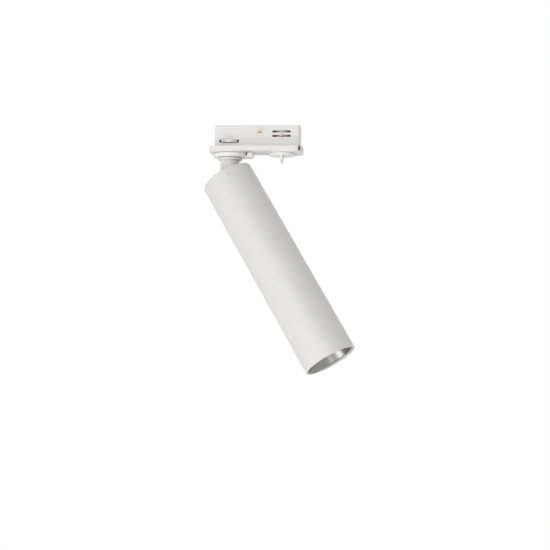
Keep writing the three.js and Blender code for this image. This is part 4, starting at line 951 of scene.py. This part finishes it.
def make_camera():
    """The photograph's view."""
    ahead = Vector((-math.sin(YAW) * math.cos(PITCH), math.cos(YAW) * math.cos(PITCH), math.sin(PITCH)))
    right = Vector((math.cos(YAW), math.sin(YAW), 0))
    above = right.cross(ahead)
    level_right = math.cos(ROLL) * right + math.sin(ROLL) * above
    level_up = math.cos(ROLL) * above - math.sin(ROLL) * right
    lens = bpy.data.cameras.new("camera")
    lens.sensor_width = SENSOR_SIZE
    lens.lens = FOCAL_LENGTH * SENSOR_SIZE / PICTURE_SIZE
    lens.clip_start, lens.clip_end = CLIP_START, CLIP_END
    camera = bpy.data.objects.new("camera", lens)
    camera.matrix_world = axes(level_right, level_up, -ahead, CAMERA_PLACE)
    bpy.context.scene.collection.objects.link(camera)
    bpy.context.scene.camera = camera


def seen_directly(tree):
    """A socket that is 1 for what the camera sees, also in reflections and through glass."""
    paths = tree.nodes.new("ShaderNodeLightPath")
    either = paths.outputs["Is Camera Ray"]
    for socket in ("Is Glossy Ray", "Is Transmission Ray"):
        join = tree.nodes.new("ShaderNodeMath")
        join.operation = "MAXIMUM"
        tree.links.new(either, join.inputs[0])
        tree.links.new(paths.outputs[socket], join.inputs[1])
        either = join.outputs[0]
    return either


def make_world():
    """A plain white surround: full white to the camera and in reflections, softer as light."""
    world = bpy.data.worlds.new("studio")
    world.use_nodes = True
    tree = world.node_tree
    tree.nodes.clear()
    mix = tree.nodes.new("ShaderNodeMixShader")
    tree.links.new(seen_directly(tree), mix.inputs[0])
    for input_index, strength in ((1, AMBIENT), (2, 1)):
        background = tree.nodes.new("ShaderNodeBackground")
        background.inputs["Color"].default_value = (1, 1, 1, 1)
        background.inputs["Strength"].default_value = strength
        tree.links.new(background.outputs[0], mix.inputs[input_index])
    end = tree.nodes.new("ShaderNodeOutputWorld")
    tree.links.new(mix.outputs[0], end.inputs["Surface"])
    bpy.context.scene.world = world
    bpy.context.scene.view_settings.view_transform = "Standard"


def make_lamp(name, turn, rise, distance, size, power):
    """A soft square lamp that looks at the middle of the object."""
    middle = (start_box[0] + start_box[1]) / 2
    turn, rise = math.radians(turn), math.radians(rise)
    away = Vector((math.sin(turn) * math.cos(rise), -math.cos(turn) * math.cos(rise), math.sin(rise)))
    data = bpy.data.lights.new(name, "AREA")
    data.shape = "SQUARE"
    data.size = size
    data.energy = power
    lamp = bpy.data.objects.new(name, data)
    lamp.location = middle + away * distance
    lamp.rotation_euler = away.to_track_quat("Z", "Y").to_euler()
    bpy.context.scene.collection.objects.link(lamp)


def make_floor():
    """A pale round floor, well below the spotlight."""
    shape = bmesh.new()
    bmesh.ops.create_circle(shape, cap_ends=True, radius=FLOOR_RADIUS, segments=FLOOR_SIDES)
    floor = new_piece("floor", shape, Matrix.Translation(Vector((0, 0, FLOOR_HEIGHT))))
    floor.data.materials.append(finish("floor_paint", **FLOOR_PAINT))


# Assembly

finishes = {slot: finish(slot, **look) for slot, look in LOOKS.items()}
places = find_places()
make_tube(places["tube"])
make_cap_screws(places["tube"])
make_reflector(places["tube"])
make_light_source(places["tube"])
make_stem(places["swivel"], places["pivot"])
make_plate(places["adapter"])
make_cover(places["adapter"])
make_cover_screws(places["adapter"])
make_lever(places["adapter"])
make_knob(places["selector"])
finish_kept_nodes()
make_camera()
make_world()
for name, lamp in LAMPS.items():
    make_lamp(name, **lamp)
make_floor()
